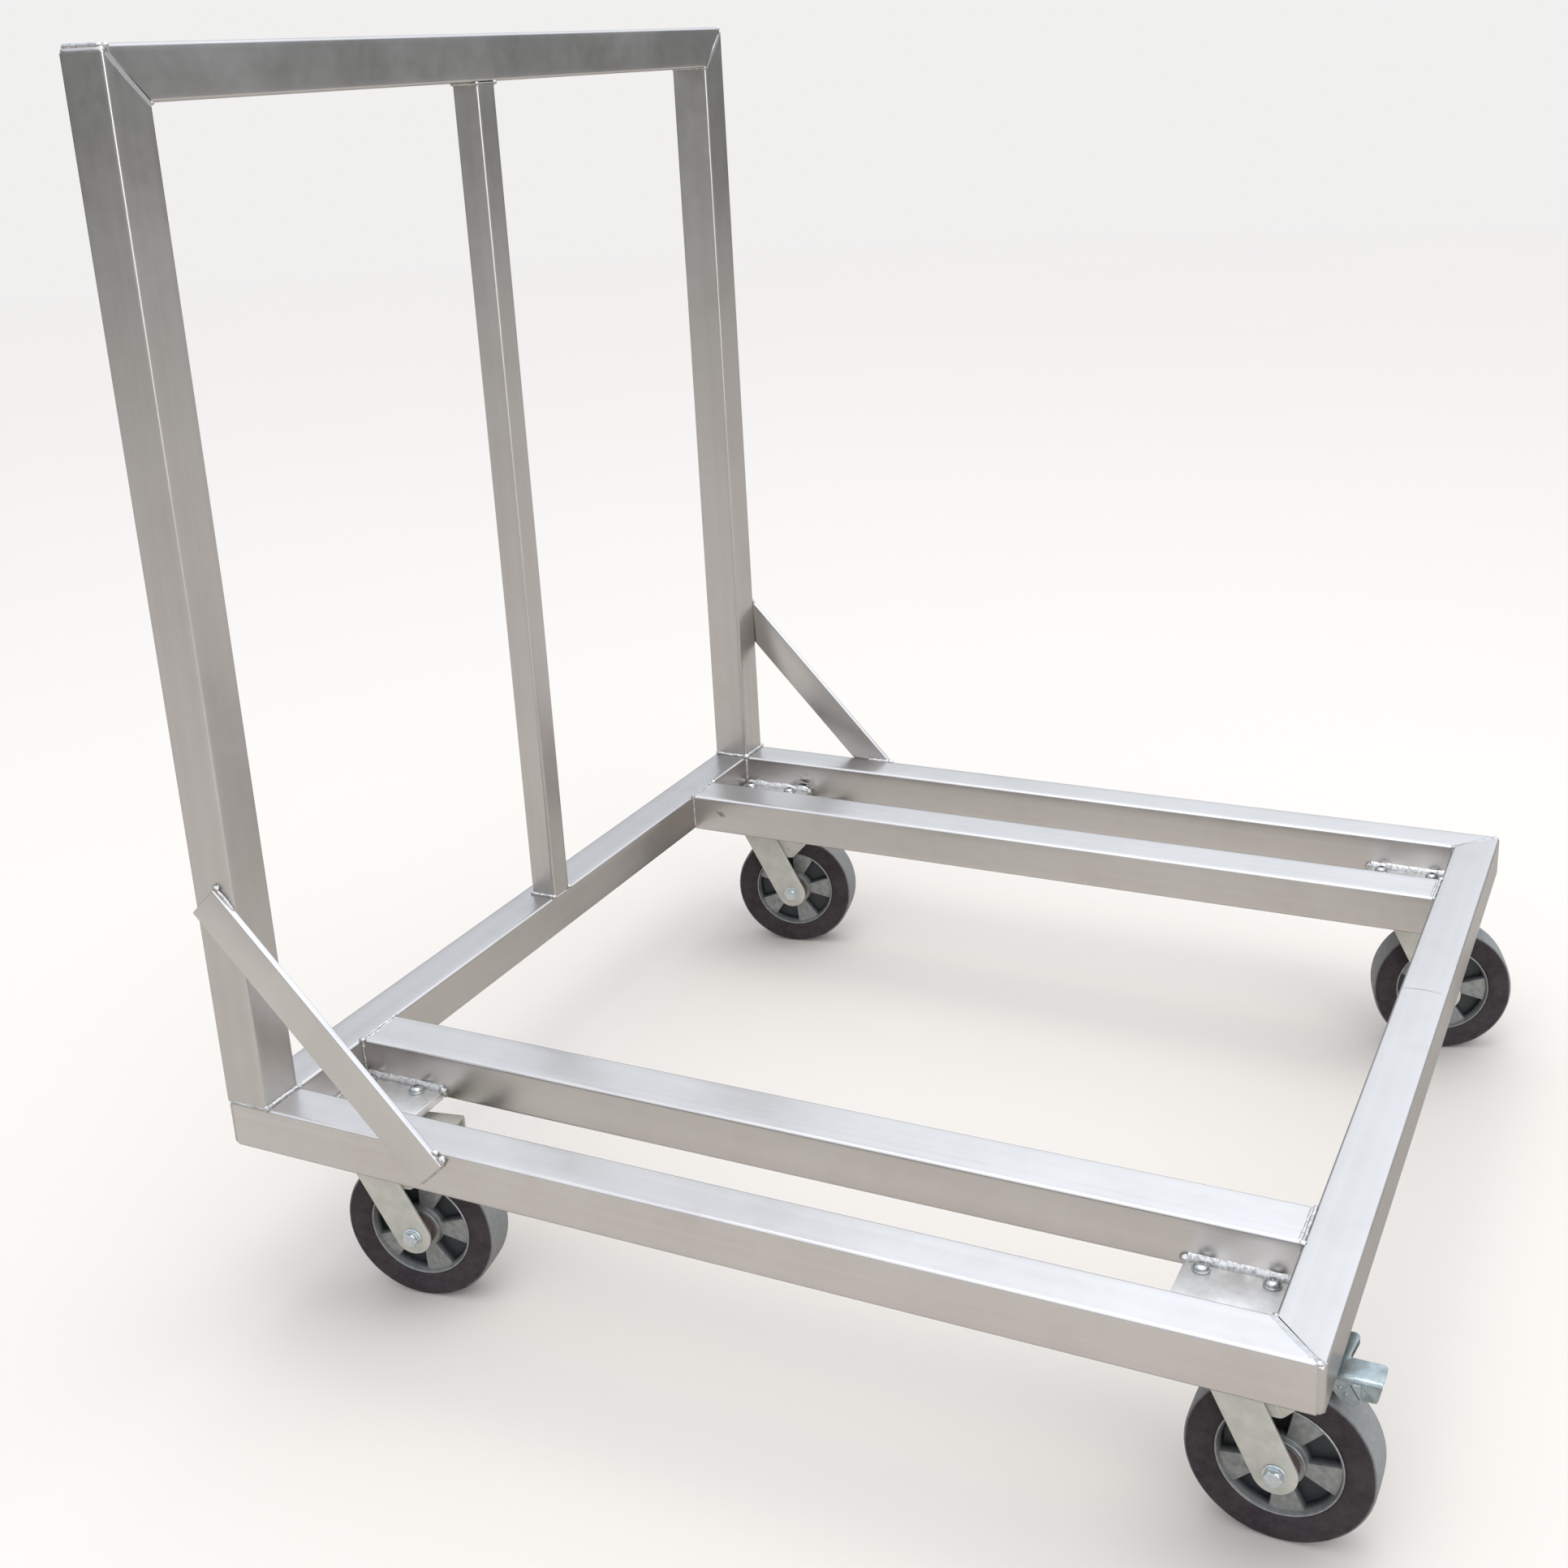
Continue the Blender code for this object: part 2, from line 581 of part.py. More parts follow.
def rim():
    """The wheel's centre: hub, web with deep pockets between broad spokes, and the band for the tyre."""
    half_tyre = TYRE_WIDTH / 2
    half_hub = half_tyre + HUB_STANDS_OUT
    bore = BEARING_RADIUS + WELD_GAP
    face = [
        (bore, half_hub, half_hub),
        (HUB_RADIUS, half_hub, half_hub),
        (HUB_RADIUS + POCKET_DRAFT, half_tyre - SPOKE_RECESS, half_tyre - POCKET_RECESS),
        (RIM_RADIUS - RIM_LIP - POCKET_DRAFT, half_tyre - SPOKE_RECESS, half_tyre - POCKET_RECESS),
        (RIM_RADIUS - RIM_LIP, half_tyre, half_tyre),
        (RIM_RADIUS, half_tyre, half_tyre),
    ]
    profile = face + [(radius, -high, -low) for radius, high, low in reversed(face)]
    columns = []
    sector = math.pi / SPOKES
    for index in range(2 * SPOKES):
        is_spoke = index % 2 == 0
        for offset in (-sector / 2 + POCKET_WALL, 0, sector / 2 - POCKET_WALL):
            columns.append((index * sector + offset, is_spoke))
    points = []
    for radius, spoke_height, pocket_height in profile:
        for angle, is_spoke in columns:
            height = spoke_height if is_spoke else pocket_height
            points.append((radius * math.cos(angle), radius * math.sin(angle), height))
    count, faces = len(columns), []
    for ring in range(len(profile)):
        first, second = ring * count, (ring + 1) % len(profile) * count
        for i in range(count):
            j = (i + 1) % count
            faces.append((first + i, first + j, second + j, second + i))
    return mesh_from("rim", points, faces)


def tyre():
    half = TYRE_WIDTH / 2
    # The flats of the tyre's inside come nearer the axle than its corners do.
    seat = (RIM_RADIUS + WELD_GAP) / math.cos(math.pi / TYRE_STEPS)
    face = [
        (seat, half, False),
        (WHEEL_RADIUS - TYRE_SHOULDER, half, False),
        (WHEEL_RADIUS, half - TYRE_SHOULDER, False),
    ]
    rings = face + [(radius, -height, False) for radius, height, _ in reversed(face)]
    return turned("tyre", rings, TYRE_STEPS, hollow=True)


def make_casters(finishes):
    fork_mesh, rim_mesh, tyre_mesh = fork(), rim(), tyre()
    braked = braked_fork(fork_mesh)
    plate_mesh, axle_mesh, bearing_mesh, bolt_mesh = top_plate(), axle_bolt(), hub_bearing(), plate_bolt()
    for name, (yaw, phase) in CASTERS.items():
        end_name, side_name = name.split("_")
        x, y = SWIVEL_X[end_name], SIDE[side_name] * CASTER_Y
        place(f"caster_plate_{name}", plate_mesh, finishes["zinc"], Matrix.Translation((x, y, 0)))
        for bolt_name, dx, dy in bolt_places():
            spot = Matrix.Translation((x + dx, y + dy, CASTER_HEIGHT + PLATE_THICKNESS))
            place(f"bolt_{name}_{bolt_name}", bolt_mesh, finishes["steel"], spot)

        swivel = empty(f"swivel_{name}", Matrix.Translation((x, y, 0)) @ Matrix.Rotation(yaw, 4, "Z"))
        shape = braked if name == "front_right" else fork_mesh
        place(f"fork_{name}", shape, finishes["fork"], Matrix(), swivel)
        hub = Matrix.Translation((TRAIL, 0, WHEEL_RADIUS)) @ ACROSS
        place(f"axle_bolt_{name}", axle_mesh, finishes["zinc"], hub, swivel)
        wheel = empty(f"wheel_{name}", hub, swivel)
        spin = Matrix.Rotation(phase, 4, "Z")
        place(f"hub_bearing_{name}", bearing_mesh, finishes["bearing"], Matrix(), wheel)
        place(f"rim_{name}", rim_mesh, finishes["rim"], spin, wheel)
        place(f"tyre_{name}", tyre_mesh, finishes["rubber"], Matrix(), wheel)
        if name == "front_right":
            make_brake(swivel, finishes)


def from_pivot(outline):
    """Points given from the swivel axis and the floor, as the pedal's own pieces need them."""
    return [(x - PIVOT_X, z - PIVOT_Z) for x, z in outline]


def below_crown(ahead, drop):
    return TRAIL + ahead, CROWN_FLOOR - drop


def pedal_side_outline():
    """A knuckle round the pin, a waist, and a round lobe below the pedal's step."""
    top = PEDAL_FLOOR + PEDAL_THICKNESS / 2
    knuckle = arc(PIVOT_X, PIVOT_Z, KNUCKLE_RADIUS, *KNUCKLE_ARC)
    lobe = arc(*below_crown(*BELLY), BELLY_RADIUS, *BELLY_ARC)
    front = lobe[-1][0]
    return from_pivot([(TRAIL + PEDAL_START, top), *knuckle, below_crown(*WAIST), *lobe, (front, top)])


def pedal_far_side_outline():
    """The left side is plain: it keeps the knuckle and waist, and ends below the wide part's front edge."""
    top = PEDAL_FLOOR + PEDAL_THICKNESS / 2
    knuckle = arc(PIVOT_X, PIVOT_Z, KNUCKLE_RADIUS, *KNUCKLE_ARC)
    waist = below_crown(*WAIST)
    front = TRAIL + PEDAL_STEP - PEDAL_CORNER
    return from_pivot([(TRAIL + PEDAL_START, top), *knuckle, waist, (front, waist[1]), (front, top)])


def tongue_side_outline():
    """The folded edge of the tongue, cut back at its front corner."""
    top = PEDAL_FLOOR + PEDAL_THICKNESS / 2
    back, floor = below_crown(PEDAL_STEP + PEDAL_CORNER, TONGUE_SIDE_DROP)
    front = TRAIL + PEDAL_REACH
    outline = [(back, top), (back, floor), (front - 3 * PEDAL_CORNER, floor), (front - PEDAL_CORNER, top)]
    return from_pivot(outline)


def pedal_top_outline():
    """A wide part that reaches to the left, and a tongue on the right that reaches to the front."""
    start, step, reach = (TRAIL + x for x in (PEDAL_START, PEDAL_STEP, PEDAL_REACH))
    right = -PEDAL_OUTSIDE
    tongue_left, left = right + TONGUE_WIDTH, PEDAL_OUTSIDE + WING_REACH
    return [
        (start, right),
        *arc(reach - PEDAL_CORNER, right + PEDAL_CORNER, PEDAL_CORNER, 270, 360),
        *arc(reach - PEDAL_CORNER, tongue_left - PEDAL_CORNER, PEDAL_CORNER, 0, 90),
        (step, tongue_left),
        *arc(step - PEDAL_CORNER, left - PEDAL_CORNER, PEDAL_CORNER, 0, 90),
        (start, left),
    ]


def brake_pedal():
    """One stamping. Its origin is on the pin."""
    top = [(x - PIVOT_X, y) for x, y in pedal_top_outline()]
    blank = prism("pedal_top", top, PEDAL_FLOOR - PIVOT_Z, PEDAL_TOP - PIVOT_Z)
    near_side, far_side = pedal_side_outline(), pedal_far_side_outline()
    added = [
        prism("near_side", near_side, -PEDAL_OUTSIDE + LET_IN, -PEDAL_INSIDE, axes="XZY"),
        prism("far_side", far_side, PEDAL_INSIDE, PEDAL_OUTSIDE, axes="XZY"),
    ]
    low, high = -PEDAL_OUTSIDE + 2 * LET_IN, -PEDAL_INSIDE + LET_IN
    added.append(prism("tongue_side", tongue_side_outline(), low, high, axes="XZY"))
    return combined("brake_pedal", blank, added, [cross_hole(PIVOT_RADIUS + WELD_GAP, 0, 0)])


def brake_shoe():
    """A block under the pedal whose lower corners stand clear of the tyre."""
    outer = WHEEL_RADIUS + SHOE_CLEARANCE
    top = PEDAL_FLOOR - WELD_GAP
    outline = [(TRAIL + SHOE_START, top), (TRAIL + SHOE_END, top)]
    for ahead in (SHOE_END, SHOE_START):
        outline.append((TRAIL + ahead, WHEEL_RADIUS + math.sqrt(outer**2 - ahead**2)))
    return prism("brake_shoe", from_pivot(outline), -SHOE_WIDTH / 2, SHOE_WIDTH / 2, axes="XZY")


def brake_pin():
    head = PEDAL_OUTSIDE + WELD_GAP
    half = [
        (PIVOT_RADIUS, head, False),
        (PIVOT_HEAD_RADIUS, head, False),
        (PIVOT_HEAD_RADIUS, head + PIVOT_HEAD_HEIGHT, False),
    ]
    other = [(size, -height, is_hexagon) for size, height, is_hexagon in reversed(half)]
    return turned("brake_pin", other + half, SMALL_STEPS)


def make_brake(swivel, finishes):
    """A pedal stamped from sheet, the pin that it turns on and the block that it presses on the tyre."""
    hinge = empty("pedal_hinge", Matrix.Translation((PIVOT_X, 0, PIVOT_Z)), swivel)
    place("brake_pedal", brake_pedal(), finishes["pedal"], Matrix(), hinge)
    place("brake_shoe", brake_shoe(), finishes["rubber"], Matrix(), hinge)
    place("brake_pin", brake_pin(), finishes["zinc"], ACROSS, hinge)


def main():
    clear_scene()
    finishes = {
        "aluminium": material("aluminium", (0.74, 0.73, 0.71), 0.35, 1.0),
        "zinc": material("zinc", (0.62, 0.66, 0.67), 0.35, 1.0),
        "steel": material("steel", (0.66, 0.66, 0.65), 0.25, 1.0),
        "fork": material("fork", (0.42, 0.40, 0.36), 0.55, 0.6),
        "rim": material("rim", (0.40, 0.41, 0.40), 0.45, 0.9),
        "bearing": material("bearing", (0.10, 0.06, 0.05), 0.6, 0.0),
        "rubber": material("rubber", (0.025, 0.02, 0.022), 0.8, 0.0),
        "pedal": material("pedal", (0.50, 0.56, 0.56), 0.3, 1.0),
    }
    make_base(finishes["aluminium"])
    make_upright(finishes["aluminium"])
    make_braces(finishes["aluminium"])
    make_mounting_plates(finishes["aluminium"])
    make_casters(finishes)
    bpy.context.view_layer.update()


main()
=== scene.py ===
import json
import math

import bmesh
import bpy
from mathutils import Matrix, Vector, kdtree, noise


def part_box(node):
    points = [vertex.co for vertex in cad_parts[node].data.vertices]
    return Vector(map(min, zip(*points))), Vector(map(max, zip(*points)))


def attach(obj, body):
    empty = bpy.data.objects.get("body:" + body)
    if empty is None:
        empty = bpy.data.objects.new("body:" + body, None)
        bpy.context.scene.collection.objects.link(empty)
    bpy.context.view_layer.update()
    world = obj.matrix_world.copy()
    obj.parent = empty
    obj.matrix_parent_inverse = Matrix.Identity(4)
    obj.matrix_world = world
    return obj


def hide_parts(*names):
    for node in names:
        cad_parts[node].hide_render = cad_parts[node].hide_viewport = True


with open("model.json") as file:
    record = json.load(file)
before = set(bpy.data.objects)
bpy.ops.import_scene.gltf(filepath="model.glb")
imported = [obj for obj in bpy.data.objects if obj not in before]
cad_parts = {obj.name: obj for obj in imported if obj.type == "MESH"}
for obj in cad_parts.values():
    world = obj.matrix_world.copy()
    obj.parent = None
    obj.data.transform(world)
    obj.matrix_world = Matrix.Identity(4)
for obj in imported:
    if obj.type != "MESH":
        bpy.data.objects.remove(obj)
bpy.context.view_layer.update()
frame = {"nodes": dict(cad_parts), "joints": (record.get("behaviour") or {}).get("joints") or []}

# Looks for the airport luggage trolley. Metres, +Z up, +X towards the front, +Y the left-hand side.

CASTERS = ("front_right", "front_left", "rear_right", "rear_left")
SIDE = {"right": -1, "left": 1}
JOINTS = {joint["name"]: joint for joint in frame["joints"]}

# Sizes of details that the CAD solids leave plain.
TUBE_CORNER = 0.004
CORNER_STEPS = 7
MITRE_CHAMFER = 0.0008
CORNER_WELD = 0.0070  # radius of the ground weld at a corner's outer edge
HEAT_REACH = 0.028  # how far a weld discolours the metal round it
LOOP_SPACING = 0.010
FLATS = 7  # lengths that each side of a tube's section is divided into
EDGE = 0.0007  # small round on cut and pressed edges
SMOOTH_ANGLE = 35  # degrees past which an edge is drawn sharp
NOISE_SEED = 1  # noise_vector takes its offsets from the clock unless it is seeded
BEAD_PITCH = 0.0030  # from one drop of a bead to the next
FILLET_PITCH = 0.0022
RINGS_PER_DROP = 5
SPOKES = 5
SPOKE_DRAFT = 0.0013  # half the width of a pocket's sloping wall

# Light that reaches the trolley from each height of the sky, from -1 straight down to 1 straight up.
SKY_STRENGTH = 2.0
SKY = (
    (-1.00, (0.87, 0.82, 0.80)),
    (-0.20, (0.80, 0.76, 0.73)),
    (-0.10, (0.27, 0.285, 0.285)),
    (0.08, (0.20, 0.225, 0.228)),
    (0.20, (0.90, 1.00, 1.12)),
    (0.34, (1.92, 2.10, 2.36)),
    (1.00, (1.96, 2.12, 2.36)),
)
WINDOW_TOWARD = (0.83, -0.55, 0)  # a tall window, mirrored in the upright tubes' corners
WINDOW_COLOUR = (2.2, 2.25, 2.3, 1)
WINDOW_EDGE = (0.95, 0.99)  # cosines off that direction between which the window fades in
WINDOW_TOP = (0.3, 0.5)  # heights between which it fades out
DIM_BEHIND = 0.66  # share of the upper sky's light that is left towards the rear
FLOOR_RADIUS = 13
BACKDROP_RADIUS = 4 * FLOOR_RADIUS
FLOOR_COLOUR = (0.510, 0.465, 0.415)
BACKDROP_COLOUR = (0.880, 0.873, 0.867)

LAMP_PLACE = (0.2, -0.2, 5.5)
LAMP_SIZE = 4.0
LAMP_POWER = 120
LAMP_COLOUR = (1.0, 0.99, 0.97)

CAMERA_PLACE = (0.8904, -2.1942, 1.4910)
CAMERA_TURN = (71.288, 2.542, 25.277)  # degrees
CAMERA_SHIFT = (-0.0185, -0.0571)
CAMERA_LENS = 44.0
SENSOR_WIDTH = 36

EDGE_TINT = (0.62, 0.61, 0.60, 1)  # of bare metal seen at a glancing angle
TREAD_EDGE = (0.0962, 0.0988)  # radii between which a tyre's side turns into its dusty tread

# Each look's material, dark and light colour, least and most roughness, and then scale, metallic and dents.
PLAIN_METALS = {
    "ground": ("ground_weld", (0.50, 0.475, 0.45), (0.64, 0.62, 0.60), 0.30, 0.46, 240.0, 1.0, 0.2),
    "dull": ("dull_ground", (0.34, 0.335, 0.325), (0.46, 0.455, 0.445), 0.32, 0.48, 260.0, 1.0, 0.2),
    "plate": ("plate_aluminium", (0.50, 0.48, 0.455), (0.76, 0.745, 0.725), 0.42, 0.55, 34.0),
    "brace": ("brace_aluminium", (0.475, 0.45, 0.425), (0.53, 0.505, 0.48), 0.27, 0.36, 9.0),
    "bolt": ("bolt_steel", (0.33, 0.33, 0.32), (0.50, 0.50, 0.49), 0.18, 0.30, 120.0),
    "zinc": ("zinc_plate", (0.44, 0.47, 0.48), (0.66, 0.70, 0.70), 0.26, 0.42, 90.0),
    # The pedal's zinc plate is drawn much darker than the caster plating: painted shade.
    "pedal": ("pedal_zinc", (0.15, 0.175, 0.175), (0.32, 0.36, 0.355), 0.18, 0.32, 60.0, 0.7),
    "fork": ("fork_steel", (0.40, 0.385, 0.335), (0.50, 0.485, 0.43), 0.42, 0.55, 40.0, 0.55),
    # Dark marks: a real scratch on the front bar, and painted shade in the pedal's groove and along its
    # wing's edge.
    "mark": ("scratch_and_painted_shade", (0.035, 0.033, 0.032), (0.09, 0.085, 0.08), 0.4, 0.6, 300.0),
    "shoe": ("shoe_rubber", (0.018, 0.017, 0.017), (0.035, 0.033, 0.032), 0.65, 0.8, 90.0, 0.0),
    "bearing": ("bearing_brown", (0.045, 0.026, 0.022), (0.085, 0.055, 0.046), 0.5, 0.65, 200.0, 0.0),
}

LINK = bpy.context.scene.collection.objects.link
ACROSS = Matrix.Rotation(math.pi / 2, 4, "X")  # lays a piece made along Z along Y


# Materials


def node(tree, kind, inputs=(), **settings):
    """A new shader node. A value in inputs may be a socket, which is then linked."""
    made = tree.nodes.new(kind)
    for key, value in settings.items():
        setattr(made, key, value)
    for key, value in dict(inputs).items():
        if isinstance(value, bpy.types.NodeSocket):
            tree.links.new(value, made.inputs[key])
        else:
            made.inputs[key].default_value = value
    return made


def finish(name, roughness, metallic=1.0, **sockets):
    made = bpy.data.materials.new(name)
    made.use_nodes = True
    shader = made.node_tree.nodes["Principled BSDF"]
    shader.inputs["Roughness"].default_value = roughness
    shader.inputs["Metallic"].default_value = metallic
    for key, value in sockets.items():
        shader.inputs[key.replace("_", " ")].default_value = value
    return made, made.node_tree, shader


def attribute(tree, name):
    return node(tree, "ShaderNodeAttribute", attribute_name=name).outputs["Fac"]


def coordinates(tree, scale=(1, 1, 1)):
    place = node(tree, "ShaderNodeTexCoord").outputs["Object"]
    return node(tree, "ShaderNodeMapping", {"Vector": place, "Scale": scale}).outputs[0]


def cloud(tree, scale, detail=4, roughness=0.55, distortion=0.0, stretch=(1, 1, 1)):
    """Soft noise fixed to the object. stretch scales it along each axis."""
    inputs = {"Vector": coordinates(tree, stretch), "Scale": scale, "Detail": detail}
    inputs.update({"Roughness": roughness, "Distortion": distortion})
    return node(tree, "ShaderNodeTexNoise", inputs).outputs[0]


def spread(tree, value, low, high, to_low, to_high):
    inputs = {"Value": value, "From Min": low, "From Max": high, "To Min": to_low, "To Max": to_high}
    return node(tree, "ShaderNodeMapRange", inputs).outputs[0]


def mix(tree, factor, first, second, blend="MIX"):
    inputs = {"Fac": factor, "Color1": first, "Color2": second}
    return node(tree, "ShaderNodeMixRGB", inputs, blend_type=blend).outputs[0]


def arithmetic(tree, operation, first, second):
    return node(tree, "ShaderNodeMath", {0: first, 1: second}, operation=operation).outputs[0]


def blend(tree, value, low, high, most, first, second):
    """first where value is low, and most of the way to second where it is high."""
    return mix(tree, spread(tree, value, low, high, 0, most), first, second)


def vector_math(tree, operation, *values, output="Vector"):
    made = node(tree, "ShaderNodeVectorMath", dict(enumerate(values)), operation=operation)
    return made.outputs[output]


def bump(tree, shader, height, strength, distance):
    inputs = {"Height": height, "Strength": strength, "Distance": distance}
    tree.links.new(node(tree, "ShaderNodeBump", inputs).outputs[0], shader.inputs["Normal"])


def mill_aluminium(axis, tone=1.0):
    """Extruded tube: faint lines along one axis, soft mottling, rare smudges, and marks by the welds; a tone
    below 1 darkens it all as painted shade.
    """
    made, tree, shader = finish(f"mill_aluminium_{'xyz'[axis]}", 0.3)

    # A tone below 1 is painted shade: the same aluminium drawn darker.
    def shade(red, green, blue):
        return (tone * red, tone * green, tone * blue, 1)

    along = [0.8 if index == axis else 120 for index in range(3)]
    strokes = [60 if index == axis else 300 for index in range(3)]
    lines = cloud(tree, 1.0, 2, 0.5, stretch=along)
    clouds = cloud(tree, 7.0, 5, 0.6, 0.4)
    mottle = cloud(tree, 60.0, 4, 0.6)
    smudges = cloud(tree, 13.0, 3, 0.5, 0.3)
    heat = attribute(tree, "heat")
    soot = attribute(tree, "soot")
    colour = blend(
        tree, clouds, 0.3, 0.7, 1, shade(0.470, 0.441, 0.417), shade(0.520, 0.491, 0.466)
    )
    colour = blend(tree, mottle, 0.4, 0.65, 0.16, colour, shade(0.555, 0.528, 0.503))
    colour = blend(tree, lines, 0.35, 0.65, 0.30, colour, shade(0.565, 0.54, 0.515))
    colour = blend(tree, smudges, 0.55, 0.75, 0.18, colour, shade(0.40, 0.37, 0.34))
    tint = blend(tree, mottle, 0.35, 0.6, 1, (0.40, 0.365, 0.325, 1), (0.66, 0.655, 0.645, 1))
    colour = mix(tree, arithmetic(tree, "MULTIPLY", heat, 0.6), colour, tint)
    flecks = spread(tree, cloud(tree, 1.0, 3, stretch=strokes), 0.42, 0.52, 0, 1)
    colour = mix(tree, arithmetic(tree, "MULTIPLY", soot, flecks), colour, (0.025, 0.022, 0.02, 1))
    tree.links.new(colour, shader.inputs["Base Color"])
    gloss = spread(tree, mottle, 0.3, 0.7, 0.275, 0.305)
    gloss = arithmetic(tree, "ADD", gloss, spread(tree, clouds, 0.4, 0.7, 0.0, 0.05))
    gloss = arithmetic(tree, "ADD", gloss, arithmetic(tree, "MULTIPLY", heat, 0.14))
    tree.links.new(gloss, shader.inputs["Roughness"])
    bump(tree, shader, lines, 0.03, 0.0003)
    shader.inputs["Specular Tint"].default_value = EDGE_TINT
    return made


def weld_metal():
    """Bright cast bead with duller, darker patches scattered at random."""
    made, tree, shader = finish("weld_metal", 0.25)
    patches = cloud(tree, 260.0, 4, 0.6)
    colour = blend(tree, patches, 0.35, 0.6, 1, (0.30, 0.285, 0.27, 1), (0.52, 0.505, 0.49, 1))
    tree.links.new(colour, shader.inputs["Base Color"])
    tree.links.new(spread(tree, patches, 0.3, 0.7, 0.52, 0.36), shader.inputs["Roughness"])
    bump(tree, shader, cloud(tree, 700.0, 3), 0.15, 0.0003)
    return made


def plain_metal(name, dark, light, low, high, scale=60.0, metallic=1.0, dent=0.1):
    """Plated or pressed metal with soft clouds of colour and gloss, and a fine even grain."""
    made, tree, shader = finish(name, (low + high) / 2, metallic)
    clouds = cloud(tree, scale, 5, 0.6)
    colour = blend(tree, clouds, 0.3, 0.7, 1, (*dark, 1), (*light, 1))
    tree.links.new(colour, shader.inputs["Base Color"])
    tree.links.new(spread(tree, clouds, 0.3, 0.7, high, low), shader.inputs["Roughness"])
    bump(tree, shader, cloud(tree, 1200.0, 2), dent, 0.0003)
    return made


def cast_alloy():
    """Dull casting whose pockets darken towards almost black with depth: painted shade in the recesses, mixed
    with some grime.
    """
    made, tree, shader = finish("rim_alloy", 0.45, 0.65)
    clouds = cloud(tree, 120.0, 5, 0.6)
    # The depth attribute drives painted shade: the deeper a point sits in a pocket, the darker its colour,
    # partly for grime.
    deep = attribute(tree, "deep")
    colour = blend(tree, clouds, 0.3, 0.7, 1, (0.19, 0.19, 0.18, 1), (0.30, 0.30, 0.285, 1))
    ragged = arithmetic(tree, "ADD", deep, spread(tree, clouds, 0.3, 0.7, -0.12, 0.12))
    colour = blend(tree, ragged, 0.15, 0.75, 1, colour, (0.046, 0.048, 0.052, 1))
    tree.links.new(colour, shader.inputs["Base Color"])
    tree.links.new(spread(tree, clouds, 0.3, 0.7, 0.5, 0.38), shader.inputs["Roughness"])
    bump(tree, shader, cloud(tree, 900.0, 3), 0.25, 0.0003)
    return made


def dusty_rubber():
    """Brown-black sides with mottling, and a grey dusty tread where the wheel rolls."""
    made, tree, shader = finish("dusty_rubber", 0.75, 0.0, Specular_IOR_Level=0.25)
    mottle = cloud(tree, 140.0, 5, 0.65)
    broad = cloud(tree, 22.0, 4, 0.6)
    side = blend(tree, mottle, 0.3, 0.7, 1, (0.017, 0.0125, 0.014, 1), (0.036, 0.0265, 0.028, 1))
    side = blend(tree, broad, 0.45, 0.7, 0.35, side, (0.060, 0.052, 0.052, 1))
    flat = vector_math(tree, "MULTIPLY", coordinates(tree), (1, 1, 0))
    reach = vector_math(tree, "LENGTH", flat, output="Value")
    tread = mix(tree, mottle, (0.13, 0.127, 0.12, 1), (0.23, 0.225, 0.215, 1))
    edge = arithmetic(tree, "ADD", reach, spread(tree, broad, 0.3, 0.7, -0.0008, 0.0008))
    colour = blend(tree, edge, *TREAD_EDGE, 1, side, tread)
    tree.links.new(colour, shader.inputs["Base Color"])
    bump(tree, shader, mottle, 0.25, 0.0005)
    return made


def make_finishes():
    looks = {look: plain_metal(*values) for look, values in PLAIN_METALS.items()}
    # The crossbars and handle (y) and the uprights (z) get darker copies of the rails' aluminium (x): painted
    # shade.
    looks.update(x=mill_aluminium(0), y=mill_aluminium(1, 0.88), z=mill_aluminium(2, 0.89))
    looks.update(weld=weld_metal(), rim=cast_alloy(), rubber=dusty_rubber())
    return looks


# Mesh helpers


def shaded(mesh, smooth_angle=SMOOTH_ANGLE):
    mesh.shade_smooth()
    mesh.set_sharp_from_angle(angle=math.radians(smooth_angle))
    return mesh


def written(work, mesh):
    """The mesh, with the bmesh's shape."""
    work.to_mesh(mesh)
    work.free()
    return mesh


def mesh_from(name, points, faces, smooth_angle=SMOOTH_ANGLE):
    mesh = bpy.data.meshes.new(name)
    mesh.from_pydata([tuple(point) for point in points], [], faces)
    work = bmesh.new()
    work.from_mesh(mesh)
    bmesh.ops.recalc_face_normals(work, faces=work.faces)
    return shaded(written(work, mesh), smooth_angle)


def joined(name, meshes, smooth_angle=SMOOTH_ANGLE):
    """One mesh from several closed shells."""
    work = bmesh.new()
    for mesh in meshes:
        work.from_mesh(mesh)
    return shaded(written(work, bpy.data.meshes.new(name)), smooth_angle)


def softened(mesh, width=EDGE, segments=2, sharper_than=30):
    """The mesh with its sharp edges rounded."""
    work = bmesh.new()
    work.from_mesh(mesh)
    limit = math.radians(sharper_than)
    edges = [e for e in work.edges if e.is_manifold and e.calc_face_angle(0) > limit]
    bmesh.ops.bevel(
        work, geom=edges, offset=width, segments=segments, profile=0.5,
        affect="EDGES", clamp_overlap=True,
    )
    return shaded(written(work, mesh))


def piece(name, mesh, material, body, matrix=None, replaced=()):
    """A shown object that rides on a CAD body."""
    obj = bpy.data.objects.new(name, mesh)
    LINK(obj)
    if not mesh.materials:
        mesh.materials.append(material)
    if matrix is not None:
        obj.matrix_world = matrix
    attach(obj, body)
    if replaced:
        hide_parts(*replaced)
    return obj


def frame_piece(name, mesh, material, matrix=None, replaced=()):
    piece(name, mesh, material, "frame", matrix, replaced)


def over_middle(low, high):
    """Moves a piece made round Z to the middle of a box."""
    return Matrix.Translation(((low.x + high.x) / 2, (low.y + high.y) / 2, 0))


def outer_inner(low, high, side):
    """Y of a box's outer face and of its inner one."""
    return (low.y, high.y) if side < 0 else (high.y, low.y)


def wobble(x, y, z):
    return noise.noise(Vector((x, y, z)))


def arc(centre_x, centre_y, radius, start, end, steps):
    points = []
    for step in range(steps + 1):
        angle = math.radians(start + (end - start) * step / steps)
        points.append((centre_x + radius * math.cos(angle), centre_y + radius * math.sin(angle)))
    return points


